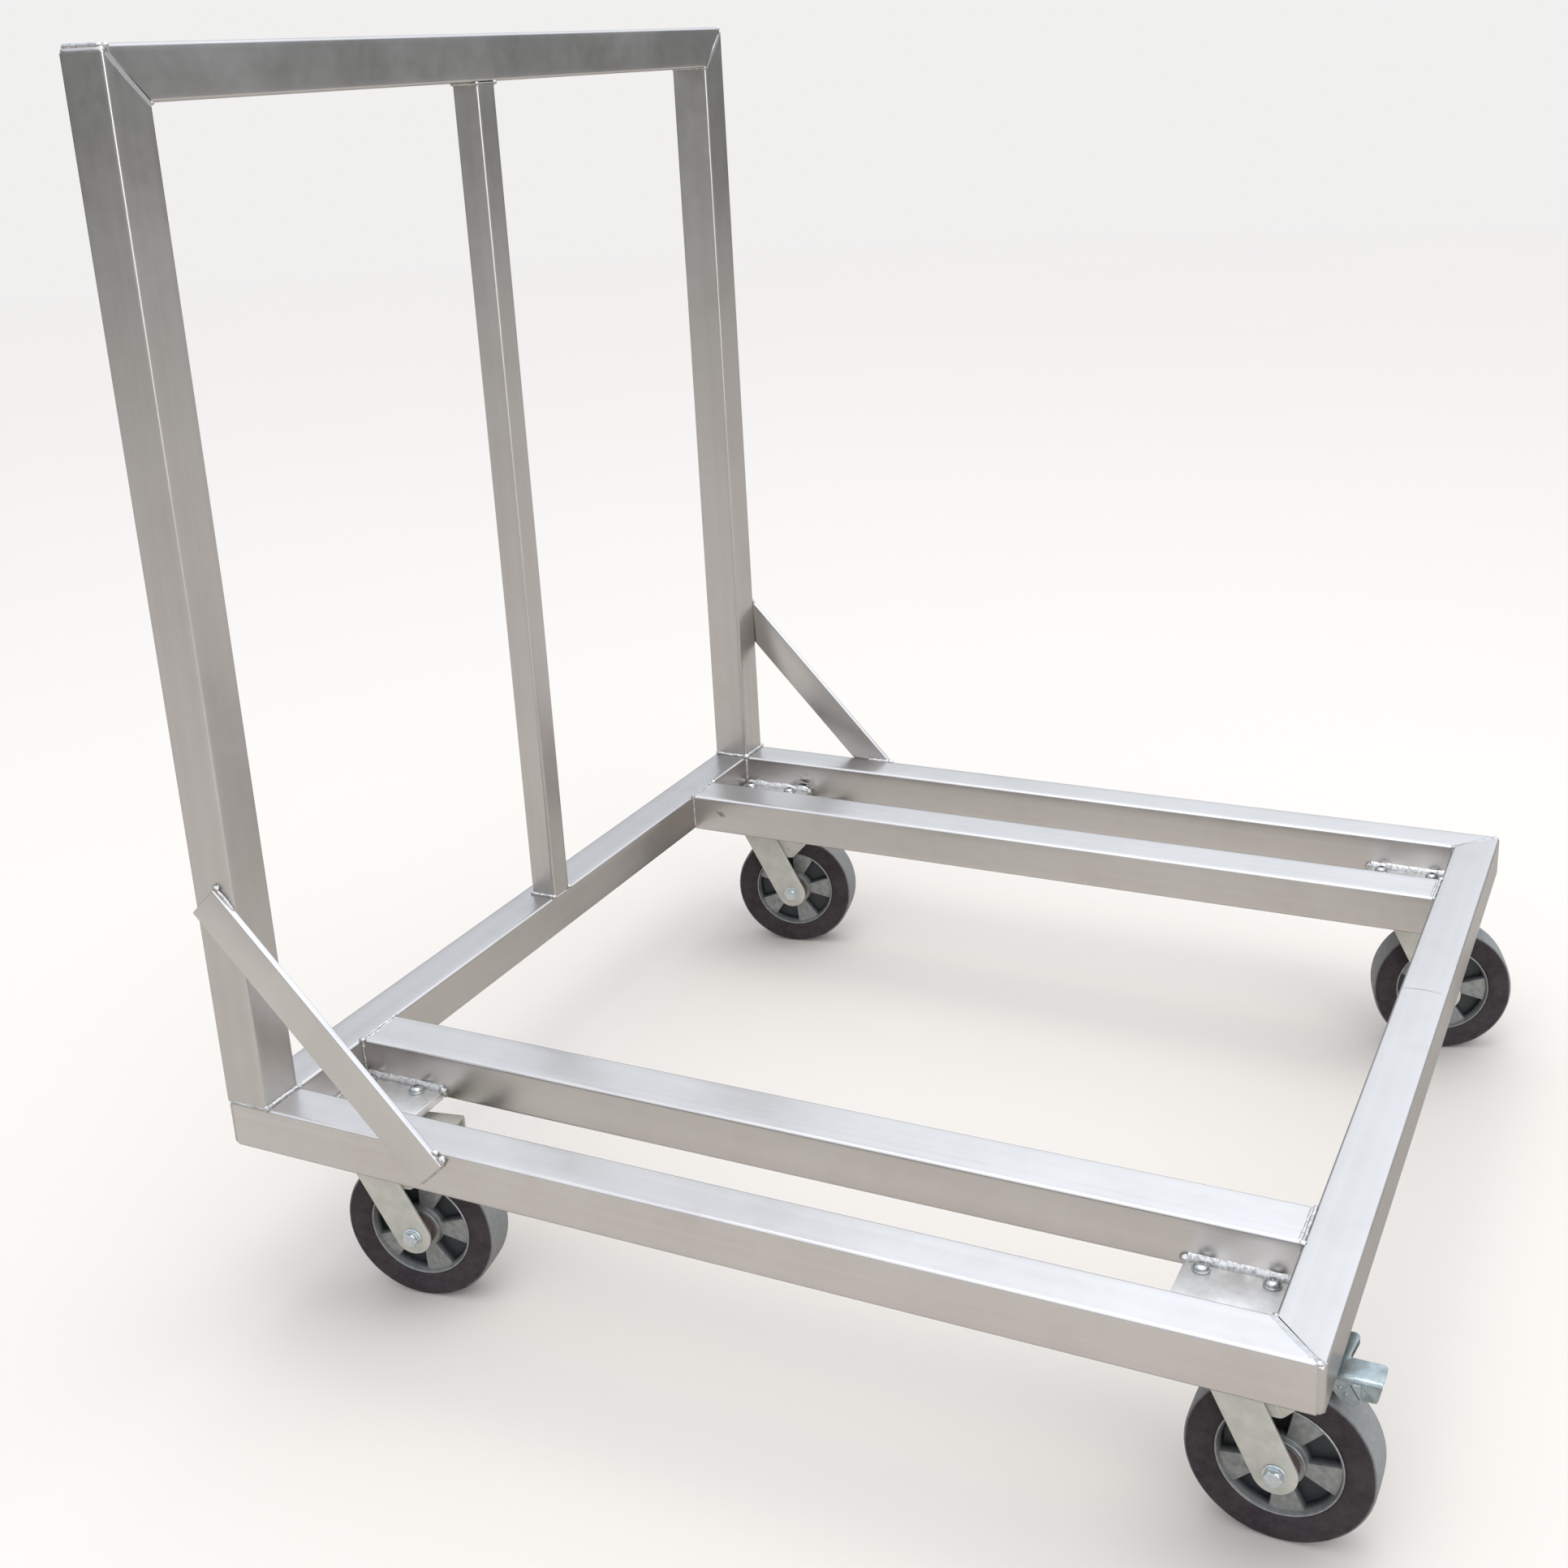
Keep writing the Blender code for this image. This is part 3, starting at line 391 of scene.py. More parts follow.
def prism(name, outline, low, high, axes="XYZ"):
    """The outline swept from low to high. axes says which way its two directions and the sweep run."""
    order = ["XYZ".index(axis) for axis in axes]
    points = []
    for along in (low, high):
        for first, second in outline:
            point = [0, 0, 0]
            for axis, value in zip(order, (first, second, along)):
                point[axis] = value
            points.append(point)
    count = len(outline)
    faces = [tuple(range(count)), tuple(range(count, 2 * count))]
    faces += [(i, (i + 1) % count, count + (i + 1) % count, count + i) for i in range(count)]
    return mesh_from(name, points, faces)


def rings_to_mesh(name, rings, closed=False, smooth_angle=SMOOTH_ANGLE):
    """Equal rings of points joined in order, capped at both ends unless the last joins the first."""
    count = len(rings[0])
    points = [point for ring in rings for point in ring]
    faces = []
    for ring in range(len(rings) if closed else len(rings) - 1):
        first, second = ring * count, (ring + 1) % len(rings) * count
        for i in range(count):
            j = (i + 1) % count
            faces.append((first + i, first + j, second + j, second + i))
    if not closed:
        faces += [tuple(range(count)), tuple(range(len(points) - count, len(points)))]
    return mesh_from(name, points, faces, smooth_angle)


def hexagon_radius(across_flats, angle):
    return across_flats / 2 / math.cos((angle % (math.pi / 3)) - math.pi / 6)


def lathe(name, profile, steps=48, closed=False, smooth_angle=SMOOTH_ANGLE):
    """Rings of (radius, height) round Z, or (across flats, height, "hex") for a six-sided ring."""
    rings = []
    for size, height, *kind in profile:
        ring = []
        for step in range(steps):
            angle = 2 * math.pi * step / steps
            radius = hexagon_radius(size, angle) if kind else size
            ring.append((radius * math.cos(angle), radius * math.sin(angle), height))
        rings.append(ring)
    return rings_to_mesh(name, rings, closed, smooth_angle)


def rounded_rectangle(width, height, radius, steps=CORNER_STEPS, flats=1):
    """A rounded outline. Each straight side is divided into flats equal lengths."""
    points = []
    for quarter, (side_x, side_y) in enumerate(((1, 1), (-1, 1), (-1, -1), (1, -1))):
        x, y = side_x * (width / 2 - radius), side_y * (height / 2 - radius)
        points += arc(x, y, radius, 90 * quarter, 90 * quarter + 90, steps)
        run = (width if quarter % 2 == 0 else height) - 2 * radius
        ahead = ((-1, 0), (0, -1), (1, 0), (0, 1))[quarter]
        last_x, last_y = points[-1]
        for part in range(1, flats):
            shift = run * part / flats
            points.append((last_x + ahead[0] * shift, last_y + ahead[1] * shift))
    return points


# Welds

WELD_POINTS = []  # places along the welds, which mark the metal round them


def bead(name, route, radius=0.0032, seed=0, flat=1.0, ripple=0.14):
    """A lumpy fillet of overlapping drops along a route of corners, half sunk in what it joins."""
    sides, rings = 8, []
    corners = [Vector(point) for point in route]
    lengths = [(b - a).length for a, b in zip(corners, corners[1:])]
    total = sum(lengths)
    count = max(8, int(total / BEAD_PITCH * RINGS_PER_DROP))
    for step in range(count + 1):
        distance = total * step / count
        left = distance
        index = 0
        while index < len(lengths) - 1 and left > lengths[index]:
            left -= lengths[index]
            index += 1
        ahead = (corners[index + 1] - corners[index]).normalized()
        centre = corners[index] + ahead * left
        WELD_POINTS.append(centre.copy())
        wander = noise.noise_vector(Vector((distance * 90, seed * 7.3, 0.5))) * radius * 0.25
        drop = abs(math.sin(math.pi * distance / BEAD_PITCH + noise.noise(centre * 60) * 2))
        swell = 1 - ripple + ripple * drop + 0.12 * wobble(distance * 120, seed, 2.0)
        taper = min(1.0, 0.35 + min(distance, total - distance) / radius * 0.65)
        across = ahead.orthogonal().normalized() if abs(ahead.z) > 0.9 else ahead.cross((0, 0, 1))
        up = across.cross(ahead)
        ring = []
        for side in range(sides):
            angle = 2 * math.pi * side / sides
            reach = radius * swell * taper
            offset = across * math.cos(angle) + up * math.sin(angle) * flat
            ring.append(centre + wander + offset * reach)
        rings.append(ring)
    return rings_to_mesh(name, rings, smooth_angle=70)


def fillet(name, start, end, out, height, width, seed):
    """A rippled weld in the corner between a wall and a plate, with a wandering edge on each."""
    start, end, out, up = Vector(start), Vector(end), Vector(out), Vector((0, 0, 1))
    length = (end - start).length
    ahead = (end - start) / length
    count, arms, rings = int(length / FILLET_PITCH * RINGS_PER_DROP), 7, []
    for step in range(count + 1):
        distance = length * step / count
        centre = start + ahead * distance - (out + up) * 0.0004
        WELD_POINTS.append(centre.copy())
        drop = abs(math.sin(math.pi * distance / FILLET_PITCH + 2 * wobble(distance * 200, seed, 9)))
        taper = min(1.0, 0.5 + 0.5 * min(distance, length - distance) / 0.004)
        rise = height * taper * (0.98 + 0.02 * drop + 0.22 * wobble(distance * 60, seed, 0))
        run = width * taper * (0.98 + 0.02 * drop + 0.22 * wobble(distance * 70, seed, 5))
        ring = [centre.copy()]
        for arm in range(arms + 1):
            share = arm / arms
            bulge = (out + up) * (0.0006 + 0.0002 * drop) * math.sin(math.pi * share)
            ring.append(centre + up * rise * (1 - share) + out * run * share + bulge)
        rings.append(ring)
    return rings_to_mesh(name, rings, smooth_angle=60)


def ground_strip(name, start, end, across, out, material, width=0.0065):
    """The flat beside a mitre where its weld was ground back."""
    start, end, across, out = Vector(start), Vector(end), Vector(across).normalized(), Vector(out)
    rings, count = [], 24
    for step in range(count + 1):
        share = step / count
        place = start.lerp(end, share)
        wide = width * (0.85 + 0.15 * math.sin(math.pi * share) + 0.12 * noise.noise(place * 160))
        near, proud, sunk = place + across * 0.0005, out * 0.00022, out * -0.0004
        far = place + across * wide
        rings.append([near + sunk, near + proud, far + proud - across * 0.0006, far + sunk])
    frame_piece(name, rings_to_mesh(name, rings, smooth_angle=20), material)


def blob(centre, radius, seed, squash=(1, 1, 1)):
    """A frozen drop of metal."""
    work = bmesh.new()
    bmesh.ops.create_icosphere(work, subdivisions=3, radius=1)
    for vertex in work.verts:
        lump = 1 + 0.28 * noise.noise(vertex.co * 1.7 + Vector((seed * 3.1, 0, 0)))
        offset = Vector(a * b for a, b in zip(vertex.co, squash)) * radius * lump
        vertex.co = Vector(centre) + offset
    WELD_POINTS.append(Vector(centre))
    return written(work, bpy.data.meshes.new("blob"))


def weld_piece(name, meshes, finishes):
    frame_piece(name, joined(name, meshes, 70), finishes["weld"])


def inner_rail_welds(finishes):
    """Beads over the ends of the inner rails, thickest at the outer top corner."""
    for side_name, side in SIDE.items():
        low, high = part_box(f"inner_rail_{side_name}")
        near, far = outer_inner(low, high, side)
        top, floor = high.z, low.z + 0.004
        for end_name, x, back in (("rear", low.x, -1), ("front", high.x, 1)):
            seed = 11 * side + 5 * back
            over = [(x, near, floor), (x, near, top), (x, far, top), (x, far, floor)]
            beside = x - back * 0.0035
            second = [(beside, near - side * 0.004, top), (beside, far + side * 0.004, top)]
            weld_piece(f"weld_inner_rail_{end_name}_{side_name}", [
                bead("over", over, 0.0022, seed),
                bead("second", second, 0.0020, seed + 1, flat=0.4),
                blob((x, near, top), 0.0040, seed, (1, 1, 0.7)),
                blob((x, near, top - 0.010), 0.0028, seed + 2),
            ], finishes)


def mounting_plate_welds(finishes):
    """A wide weld along both rails' feet, which ends in a blob and turns down the plate's free end."""
    for name in CASTERS:
        low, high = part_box(f"mounting_plate_{name}")
        facing = 1 if name.startswith("rear") else -1
        closed_x, free_x = (low.x, high.x) if facing > 0 else (high.x, low.x)
        top, meshes = high.z, []
        for y, inward in ((low.y, 1), (high.y, -1)):
            seed = len(WELD_POINTS) % 97
            start, end = (closed_x, y, top), (free_x + facing * 0.001, y, top)
            meshes.append(fillet("foot", start, end, (0, inward, 0), 0.0085, 0.0062, seed))
            meshes.append(blob((free_x, y + inward * 0.002, top + 0.001), 0.0056, seed, (1, 0.8, 1)))
            down = [(free_x + facing * 0.001, y, top), (free_x + facing * 0.001, y, low.z + 0.002)]
            meshes.append(bead("down", down, 0.0035, seed + 5))
        closed = closed_x + facing * 0.001
        meshes.append(bead("end", [(closed, low.y, top), (closed, high.y, top)], 0.0030, 3, 0.8))
        weld_piece(f"weld_mounting_plate_{name}", meshes, finishes)


def ground_corner(x, y, low, high, seed):
    """The weld at a mitre's outer edge, ground to a soft round."""
    rings, steps = [], 18
    radius = CORNER_WELD
    levels = [(low, 0.45), (low + 0.0012, 0.8), (low + 0.004, 1.0)]
    levels += [(low + (high - low) * part, 1.0) for part in (0.2, 0.35, 0.5, 0.65, 0.8)]
    levels += [(high - 0.004, 1.0), (high - 0.0012, 0.8), (high, 0.45)]
    for z, share in levels:
        ring = []
        for step in range(steps):
            angle = 2 * math.pi * step / steps
            wave = 1 + 0.03 * wobble(math.cos(angle) * 2, z * 90, seed)
            reach = radius * share * wave
            ring.append((x + reach * math.cos(angle), y + reach * math.sin(angle), z))
        rings.append(ring)
    return rings_to_mesh("ground_corner", rings, smooth_angle=80)


def base_corner_welds(finishes):
    """Base mitres: ground outer edge, a lump at the top of it and beads inside the corner."""
    for row, toward in (("front", -1), ("rear", 1)):
        low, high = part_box(f"crossbar_{row}")
        out_x, in_x = (high.x, low.x) if row == "front" else (low.x, high.x)
        for side_name, side in SIDE.items():
            low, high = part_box(f"outer_rail_{side_name}")
            out_y, in_y = outer_inner(low, high, side)
            top, floor = high.z, low.z
            seed = 3 * side + toward
            centre_x, centre_y = out_x + toward * CORNER_WELD, out_y - side * CORNER_WELD
            column = ground_corner(centre_x, centre_y, floor + 0.0015, top - 0.0015, seed)
            frame_piece(f"ground_weld_{row}_{side_name}", column, finishes["z"])
            inner = [(in_x, in_y, top - 0.003), (in_x, in_y, floor + 0.004)]
            meshes = [bead("inner", inner, 0.0028, seed)]
            meshes.append(blob((in_x, in_y, top - 0.001), 0.0034, seed, (1, 1, 0.6)))
            if row == "front":
                x, y = out_x + toward * 0.007, out_y - side * 0.005
                meshes.append(blob((x, y, top - 0.0012), 0.0055, seed, (1, 0.8, 0.42)))
                x, y = x + toward * 0.007, y - side * 0.003
                meshes.append(blob((x, y, top - 0.001), 0.0042, seed + 9, (1.3, 0.8, 0.35)))
            weld_piece(f"weld_base_{row}_{side_name}", meshes, finishes)
            if row == "front":
                start = (in_x - 0.001, in_y + side * 0.001, top)
                end = (out_x - 0.006, out_y - side * 0.006, top)
                strip = f"ground_strip_base_{side_name}"
                ground_strip(strip, start, end, (-1, side, 0), (0, 0, 1), finishes["dull"])


def upright_welds(finishes):
    """Feet and heads of the three uprights."""
    for side_name, side in SIDE.items():
        low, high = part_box(f"post_{side_name}")
        out_y, in_y = outer_inner(low, high, side)
        front, rear, foot_z, head_z = high.x, low.x, low.z + 0.001, high.z
        inside = [(front, out_y - side * 0.003, foot_z), (front, in_y, foot_z), (rear, in_y, foot_z)]
        y = out_y - side * 0.0012
        outside = [(rear + 0.004, y, low.z), (front - 0.002, y, low.z)]
        weld_piece(f"weld_post_foot_{side_name}", [
            bead("inside", inside, 0.0038, side, 0.8, 0.2),
            bead("outside", outside, 0.0026, side + 3, 1.0, 0.08),
            blob((front, out_y - side * 0.002, foot_z), 0.0046, side + 4),
            blob((front, in_y, foot_z), 0.0050, side + 5, (1, 1, 0.8)),
        ], finishes)

        inner_corner = head_z - (front - rear)
        for face_name, x, out in (("front", front, 1), ("rear", rear, -1)):
            start, end = (x, in_y, inner_corner), (x, out_y - side * 0.007, head_z - 0.007)
            strip = f"ground_strip_{face_name}_{side_name}"
            ground_strip(strip, start, end, (0, side, -1), (out, 0, 0), finishes["ground"])
        column = ground_corner(0, 0, rear + 0.0012, front - 0.0012, side + 33)
        centre = Vector((0, out_y - side * CORNER_WELD, head_z - CORNER_WELD))
        column.transform(Matrix.Translation(centre) @ Matrix.Rotation(math.pi / 2, 4, "Y"))
        frame_piece(f"ground_weld_handle_{side_name}", column, finishes["y"])
        under = [(rear, in_y, inner_corner), (front, in_y, inner_corner)]
        y, z = out_y - side * 0.0035, head_z - 0.0015
        over = [(rear + 0.003, y, z), (front - 0.003, y, z)]
        weld_piece(f"weld_post_head_{side_name}", [
            bead("under", under, 0.0024, side + 20, 1.0, 0.10),
            bead("over", over, 0.0030, side + 22, 1.0, 0.10),
            blob((front - 0.002, out_y - side * 0.008, head_z - 0.002), 0.0034, side + 30),
            blob((front - 0.0014, in_y, inner_corner), 0.0024, side + 31),
        ], finishes)

    low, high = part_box("mid_upright")
    for end_name, end, sink in (("foot", low.z, 0.001), ("head", high.z, -0.001)):
        z = end + sink
        ring = [(high.x, low.y, z), (low.x, low.y, z), (low.x, high.y, z), (high.x, high.y, z)]
        weld_piece(f"weld_mid_upright_{end_name}", [
            bead("ring", ring, 0.0034, sink * 900, 0.9, 0.2),
            blob((high.x - 0.001, low.y, z), 0.0034, 40, (1, 1, 0.8)),
            blob((high.x - 0.001, high.y, z), 0.0040, 41, (1, 1, 0.8)),
        ], finishes)


def brace_corners(side_name):
    """The brace's four corners in X and Z: rear head, rear foot, front foot and front head."""
    mesh = frame["nodes"][f"brace_{side_name}"].data
    spots = sorted({(round(v.co.x, 5), round(v.co.z, 5)) for v in mesh.vertices})
    rear_head, front_foot = spots[0], spots[-1]
    rear_foot = min(spots, key=lambda spot: spot[1])
    front_head = max(spots, key=lambda spot: spot[1])
    return [Vector(spot) for spot in (rear_head, rear_foot, front_foot, front_head)]


def brace_welds(finishes):
    """Each brace's head and foot, and lumps where its front edge meets the rail."""
    for side_name, side in SIDE.items():
        _, rear_foot, front_foot, front_head = brace_corners(side_name)
        y = outer_inner(*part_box(f"post_{side_name}"), side)[0] + side * 0.002
        down = (front_foot - front_head).normalized()
        end, crossing = front_head + down * 0.034, front_foot - down * 0.004
        head = [(front_head.x, y, front_head.y), (end.x, y, end.y)]
        foot = [(front_foot.x, y, front_foot.y), (rear_foot.x, y, rear_foot.y)]
        meshes = [
            bead("head", head, 0.0042, side, 1.0, 0.25),
            blob((front_head.x, y, front_head.y), 0.0050, side + 50, (1, 0.8, 1)),
            blob((crossing.x, y, crossing.y + 0.002), 0.0058, side + 51, (1, 0.9, 1)),
            blob((crossing.x - 0.009, y, crossing.y + 0.009), 0.0046, side + 52, (1, 0.9, 1)),
            bead("foot", foot, 0.0026, side + 6, 1.0, 0.1),
        ]
        if side > 0:
            rail_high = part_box(f"outer_rail_{side_name}")[1]
            x, y, z = front_foot.x, rail_high.y - 0.0005, rail_high.z
            meshes.append(bead("top", [(x - 0.052, y, z), (x - 0.004, y, z)], 0.0040, 8, 0.8, 0.25))
        weld_piece(f"weld_brace_{side_name}", meshes, finishes)


# Frame


def near_weld(points):
    """0 far from every weld and 1 on one, with a ragged edge."""
    welds = kdtree.KDTree(len(WELD_POINTS))
    for index, point in enumerate(WELD_POINTS):
        welds.insert(point, index)
    welds.balance()
    marks = []
    for point in points:
        ragged = HEAT_REACH * (1 + 0.5 * noise.noise(Vector(point) * 70))
        marks.append(math.exp(-((welds.find(point)[2] / ragged) ** 2)))
    return marks


def paint(mesh, name, values):
    layer = mesh.attributes.new(name, "FLOAT", "POINT")
    layer.data.foreach_set("value", values)


def tube_piece(node_name, axis, finishes, long_side=None, mitred=(False, False)):
    """A round-cornered tube in the CAD tube's box. long_side points to the long side of its mitres."""
    low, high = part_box(node_name)
    across = [index for index in range(3) if index != axis]
    middle = (low + high) / 2
    sides = [high[index] - low[index] for index in across]
    section = rounded_rectangle(*sides, TUBE_CORNER, flats=FLATS)
    ends = (low[axis], high[axis])

    def end_of(x, y, end):
        """Where the tube ends along its axis, at this place in its section."""
        if not mitred[end]:
            return ends[end]
        place = [x, y]
        which = across.index(long_side[0])
        half = (high[long_side[0]] - low[long_side[0]]) / 2
        back = max(half - long_side[1] * place[which], CORNER_WELD)
        return ends[end] + (back if end == 0 else -back)

    def ring(depth, end=None, share=0.0, chamfer=0.0):
        points = []
        for x, y in section:
            scale_x = 1 - 2 * chamfer / (high[across[0]] - low[across[0]])
            scale_y = 1 - 2 * chamfer / (high[across[1]] - low[across[1]])
            point = [0, 0, 0]
            point[across[0]] = middle[across[0]] + x * scale_x
            point[across[1]] = middle[across[1]] + y * scale_y
            if end is None:
                point[axis] = end_of(x, y, 0) * (1 - share) + end_of(x, y, 1) * share
            else:
                point[axis] = end_of(x, y, end) + (depth if end == 0 else -depth)
            points.append(tuple(point))
        return points

    count = int((ends[1] - ends[0]) / LOOP_SPACING)
    rings = [ring(0, 0, chamfer=MITRE_CHAMFER), ring(MITRE_CHAMFER, 0)]
    rings += [ring(0, share=step / count) for step in range(1, count)]
    rings += [ring(MITRE_CHAMFER, 1), ring(0, 1, chamfer=MITRE_CHAMFER)]
    mesh = rings_to_mesh(node_name + "_tube", rings)
    points = [tuple(vertex.co) for vertex in mesh.vertices]
    paint(mesh, "heat", near_weld(points))
    paint(mesh, "soot", soot_marks(points))
    frame_piece(node_name + "_tube", mesh, finishes["xyz"[axis]], None, [node_name])


def soot_marks(points):
    """Where metal may be scorched: round the left rear plate's free end and on the rail beside it."""
    low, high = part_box("mounting_plate_rear_left")
    rail_low, rail_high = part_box("inner_rail_left")
    spots = (
        (Vector((high.x - 0.008, high.y, high.z + 0.010)), 0.014),
        (Vector((rail_low.x + 0.050, rail_low.y, rail_high.z - 0.024)), 0.003),
    )
    marks = []
    for point in points:
        nearest = max(math.exp(-(((Vector(point) - spot).length / reach) ** 2)) for spot, reach in spots)
        marks.append(min(1.0, nearest * 1.5) if nearest > 0.05 else 0.0)
    return marks


def make_tubes(finishes):
    for side_name, side in SIDE.items():
        tube_piece(f"outer_rail_{side_name}", 0, finishes, (1, side), (True, True))
        tube_piece(f"inner_rail_{side_name}", 0, finishes)
        tube_piece(f"post_{side_name}", 2, finishes, (1, side), (False, True))
    tube_piece("crossbar_front", 1, finishes, (0, 1), (True, True))
    tube_piece("crossbar_rear", 1, finishes, (0, -1), (True, True))
    tube_piece("handle_bar", 1, finishes, (2, 1), (True, True))
    tube_piece("mid_upright", 2, finishes)


def make_braces(finishes):
    """Flat bar with rolled edges."""
    for side_name, side in SIDE.items():
        low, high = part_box(f"brace_{side_name}")
        outline = [tuple(corner) for corner in brace_corners(side_name)]
        mesh = softened(prism("brace", outline, low.y, high.y, axes="XZY"), 0.0012, 3)
        frame_piece(f"brace_{side_name}_bar", mesh, finishes["brace"], None, [f"brace_{side_name}"])


def make_mounting_plates(finishes):
    """Sawn plate whose free corners are slightly rounded."""
    for name in CASTERS:
        node_name = f"mounting_plate_{name}"
        low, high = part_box(node_name)
        outline = rounded_rectangle(high.x - low.x, high.y - low.y, 0.004, 4)
        mesh = softened(prism("mounting_plate", outline, low.z, high.z), 0.0008, 2, 60)
        frame_piece(f"{node_name}_sheet", mesh, finishes["plate"], over_middle(low, high), [node_name])


def plate_bolt(low, high):
    """Button head with a six-sided socket on a washer, and a chamfered nut with the shank's end below."""
    head, washer = 0.0055, 0.0020
    top = high.z
    seat = top - head - washer
    radius = (high.x - low.x) / 2
    dome = [(0.0086 * math.cos(a), seat + washer + 0.0006 + (head - 0.0006) * math.sin(a)) for a in
            (math.radians(degrees) for degrees in (0, 12, 25, 38, 50, 62))]
    profile = [(0.0045, top - 0.0032), (0.0062, top - 0.0032, "hex"), (0.0063, top - 0.0006, "hex")]
    profile += list(reversed(dome))
    profile += [(0.0086, seat + washer), (radius - 0.0004, seat + washer), (radius, seat + washer - 0.0004)]
    profile += [(radius, seat), (0.005, seat), (0.005, low.z + 0.008), (0.0138, low.z + 0.008)]
    profile += [(0.016, low.z + 0.0072, "hex"), (0.016, low.z + 0.0010, "hex"), (0.0072, low.z)]
    return lathe("plate_bolt", profile, 36)


def make_plate_bolts(finishes):
    low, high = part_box("bolt_front_right_front_right")
    mesh = plate_bolt(low, high)
    for name in CASTERS:
        for row in ("front", "rear"):
            for column in ("right", "left"):
                node_name = f"bolt_{name}_{row}_{column}"
                low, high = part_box(node_name)
                turn = Matrix.Rotation(noise.noise(low * 31) * 3, 4, "Z")
                place = over_middle(low, high) @ turn
                piece(node_name + "_screw", mesh, finishes["bolt"], "frame", place, [node_name])


# Casters


def swivel_matrix(name):
    """From the caster's own frame, on its swivel axis and trailing along X, to the trolley's."""
    swivel = Vector(JOINTS[f"{name}_swivel"]["pos_m"])
    axle = Vector(JOINTS[f"{name}_wheel_spin"]["pos_m"])
    yaw = math.atan2(axle.y - swivel.y, axle.x - swivel.x)
    return Matrix.Translation((swivel.x, swivel.y, 0)) @ Matrix.Rotation(yaw, 4, "Z")


def caster_sizes():
    """Sizes of the straight caster, read from its CAD boxes."""
    swivel = Vector(JOINTS["front_right_swivel"]["pos_m"])
    axle = Vector(JOINTS["front_right_wheel_spin"]["pos_m"])
    fork_low, fork_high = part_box("fork_front_right")
    tyre_low, tyre_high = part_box("tyre_front_right")
    rim_low, rim_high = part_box("rim_front_right")
    plate_low, plate_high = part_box("caster_plate_front_right")
    return {
        "trail": axle.x - swivel.x,
        "axle": axle.z,
        "leg_out": fork_high.y - swivel.y,
        "crown_top": fork_high.z,
        "leg_end": axle.z - fork_low.z,
        "ear_end": fork_high.x - axle.x,
        "tyre_radius": (tyre_high.z - tyre_low.z) / 2,
        "tyre_half": (tyre_high.y - tyre_low.y) / 2,
        "rim_radius": (rim_high.z - rim_low.z) / 2,
        "hub_half": (rim_high.y - rim_low.y) / 2,
        "plate": (plate_low, plate_high),
    }


LEG_THICKNESS = 0.0045
SKIRT_THICKNESS = 0.0035
CROWN_THICKNESS = 0.005
LEG_SLOPE = 0.489
EAR_DROP = 0.059
FOLD = 0.004


def fork_mesh(size):
    """Pressed crown with folded skirts, and two strips lapped on to them outside."""
    trail, axle, crown_top = size["trail"], size["axle"], size["crown_top"]
    leg_end = size["leg_end"]
    leg_out = size["leg_out"]
    leg_in = leg_out - LEG_THICKNESS
    skirt_out = leg_in - 0.0002
    skirt_in = skirt_out - SKIRT_THICKNESS
    top = crown_top - 0.0025
    tilt = math.atan(LEG_SLOPE)
    half_run = leg_end / math.cos(tilt)
    turn = math.degrees(tilt)

    leg_top_x = trail - LEG_SLOPE * (top - axle)
    foot = arc(trail, axle, leg_end, 180 + turn, 360 + turn, 28)
    leg = [(leg_top_x - half_run, top), *foot, (leg_top_x + half_run, top)]

    floor = crown_top - CROWN_THICKNESS - EAR_DROP
    low_x = trail - LEG_SLOPE * (floor - axle) - half_run + 0.003
    high_x = leg_top_x - half_run + 0.003
    front = trail + size["ear_end"]
    ear = arc(trail, floor + 0.010, 0.010, 270, 315, 6)
    last_x, last_z = ear[-1]
    corner_z = last_z + front - last_x
    rounded = arc(front - 0.004, corner_z + 0.0035, 0.004, -40, 0, 4)
    skirt = [(high_x, top - 0.002), (low_x, floor), *ear, *rounded, (front, top - 0.002)]

    shells = []
    for side in (-1, 1):
        shells.append(softened(prism("leg", leg, side * leg_in, side * leg_out, "XZY"), 0.0009, 3))
        shells.append(softened(prism("skirt", skirt, side * skirt_in, side * skirt_out, "XZY"), 0.0006, 2))
        # The rolled fold between the crown and its skirt.
        centre_y, centre_z = side * (skirt_out - FOLD), crown_top - FOLD
        quarter = arc(centre_y, centre_z, FOLD, 90, 90 - side * 90, 6)
        inner = arc(centre_y, centre_z, 0.0006, 90 - side * 90, 90, 3)
        shells.append(prism("fold", quarter + inner, high_x + 0.004, front - 0.0008, "YZX"))
        mark = [
            (trail - 0.003, floor + 0.016), (trail + 0.0005, floor + 0.006),
            (trail + 0.0035, floor + 0.007), (trail, floor + 0.017),
        ]
        tack = prism("tack", mark, side * (skirt_out - 0.001), side * (skirt_out + 0.0012), "XZY")
        shells.append(softened(tack, 0.0005, 2))
    radius = 0.046
    half = skirt_out - 0.0035
    lip = math.degrees(math.asin(half / radius))
    crown = [*arc(0, 0, radius, lip, 360 - lip, 40), (front - 0.0008, -half), (front - 0.0008, half)]
    low_z = crown_top - CROWN_THICKNESS
    shells.append(softened(prism("crown", crown, low_z, crown_top), 0.001, 2))
    dish = [(0.041, low_z + 0.001), (0.041, low_z - 0.0025), (0.036, low_z - 0.0045), (0.016, low_z - 0.0045)]
    dish += [(0.016, low_z + 0.001)]
    shells.append(lathe("dish", dish, 40))
    return joined("fork", shells)


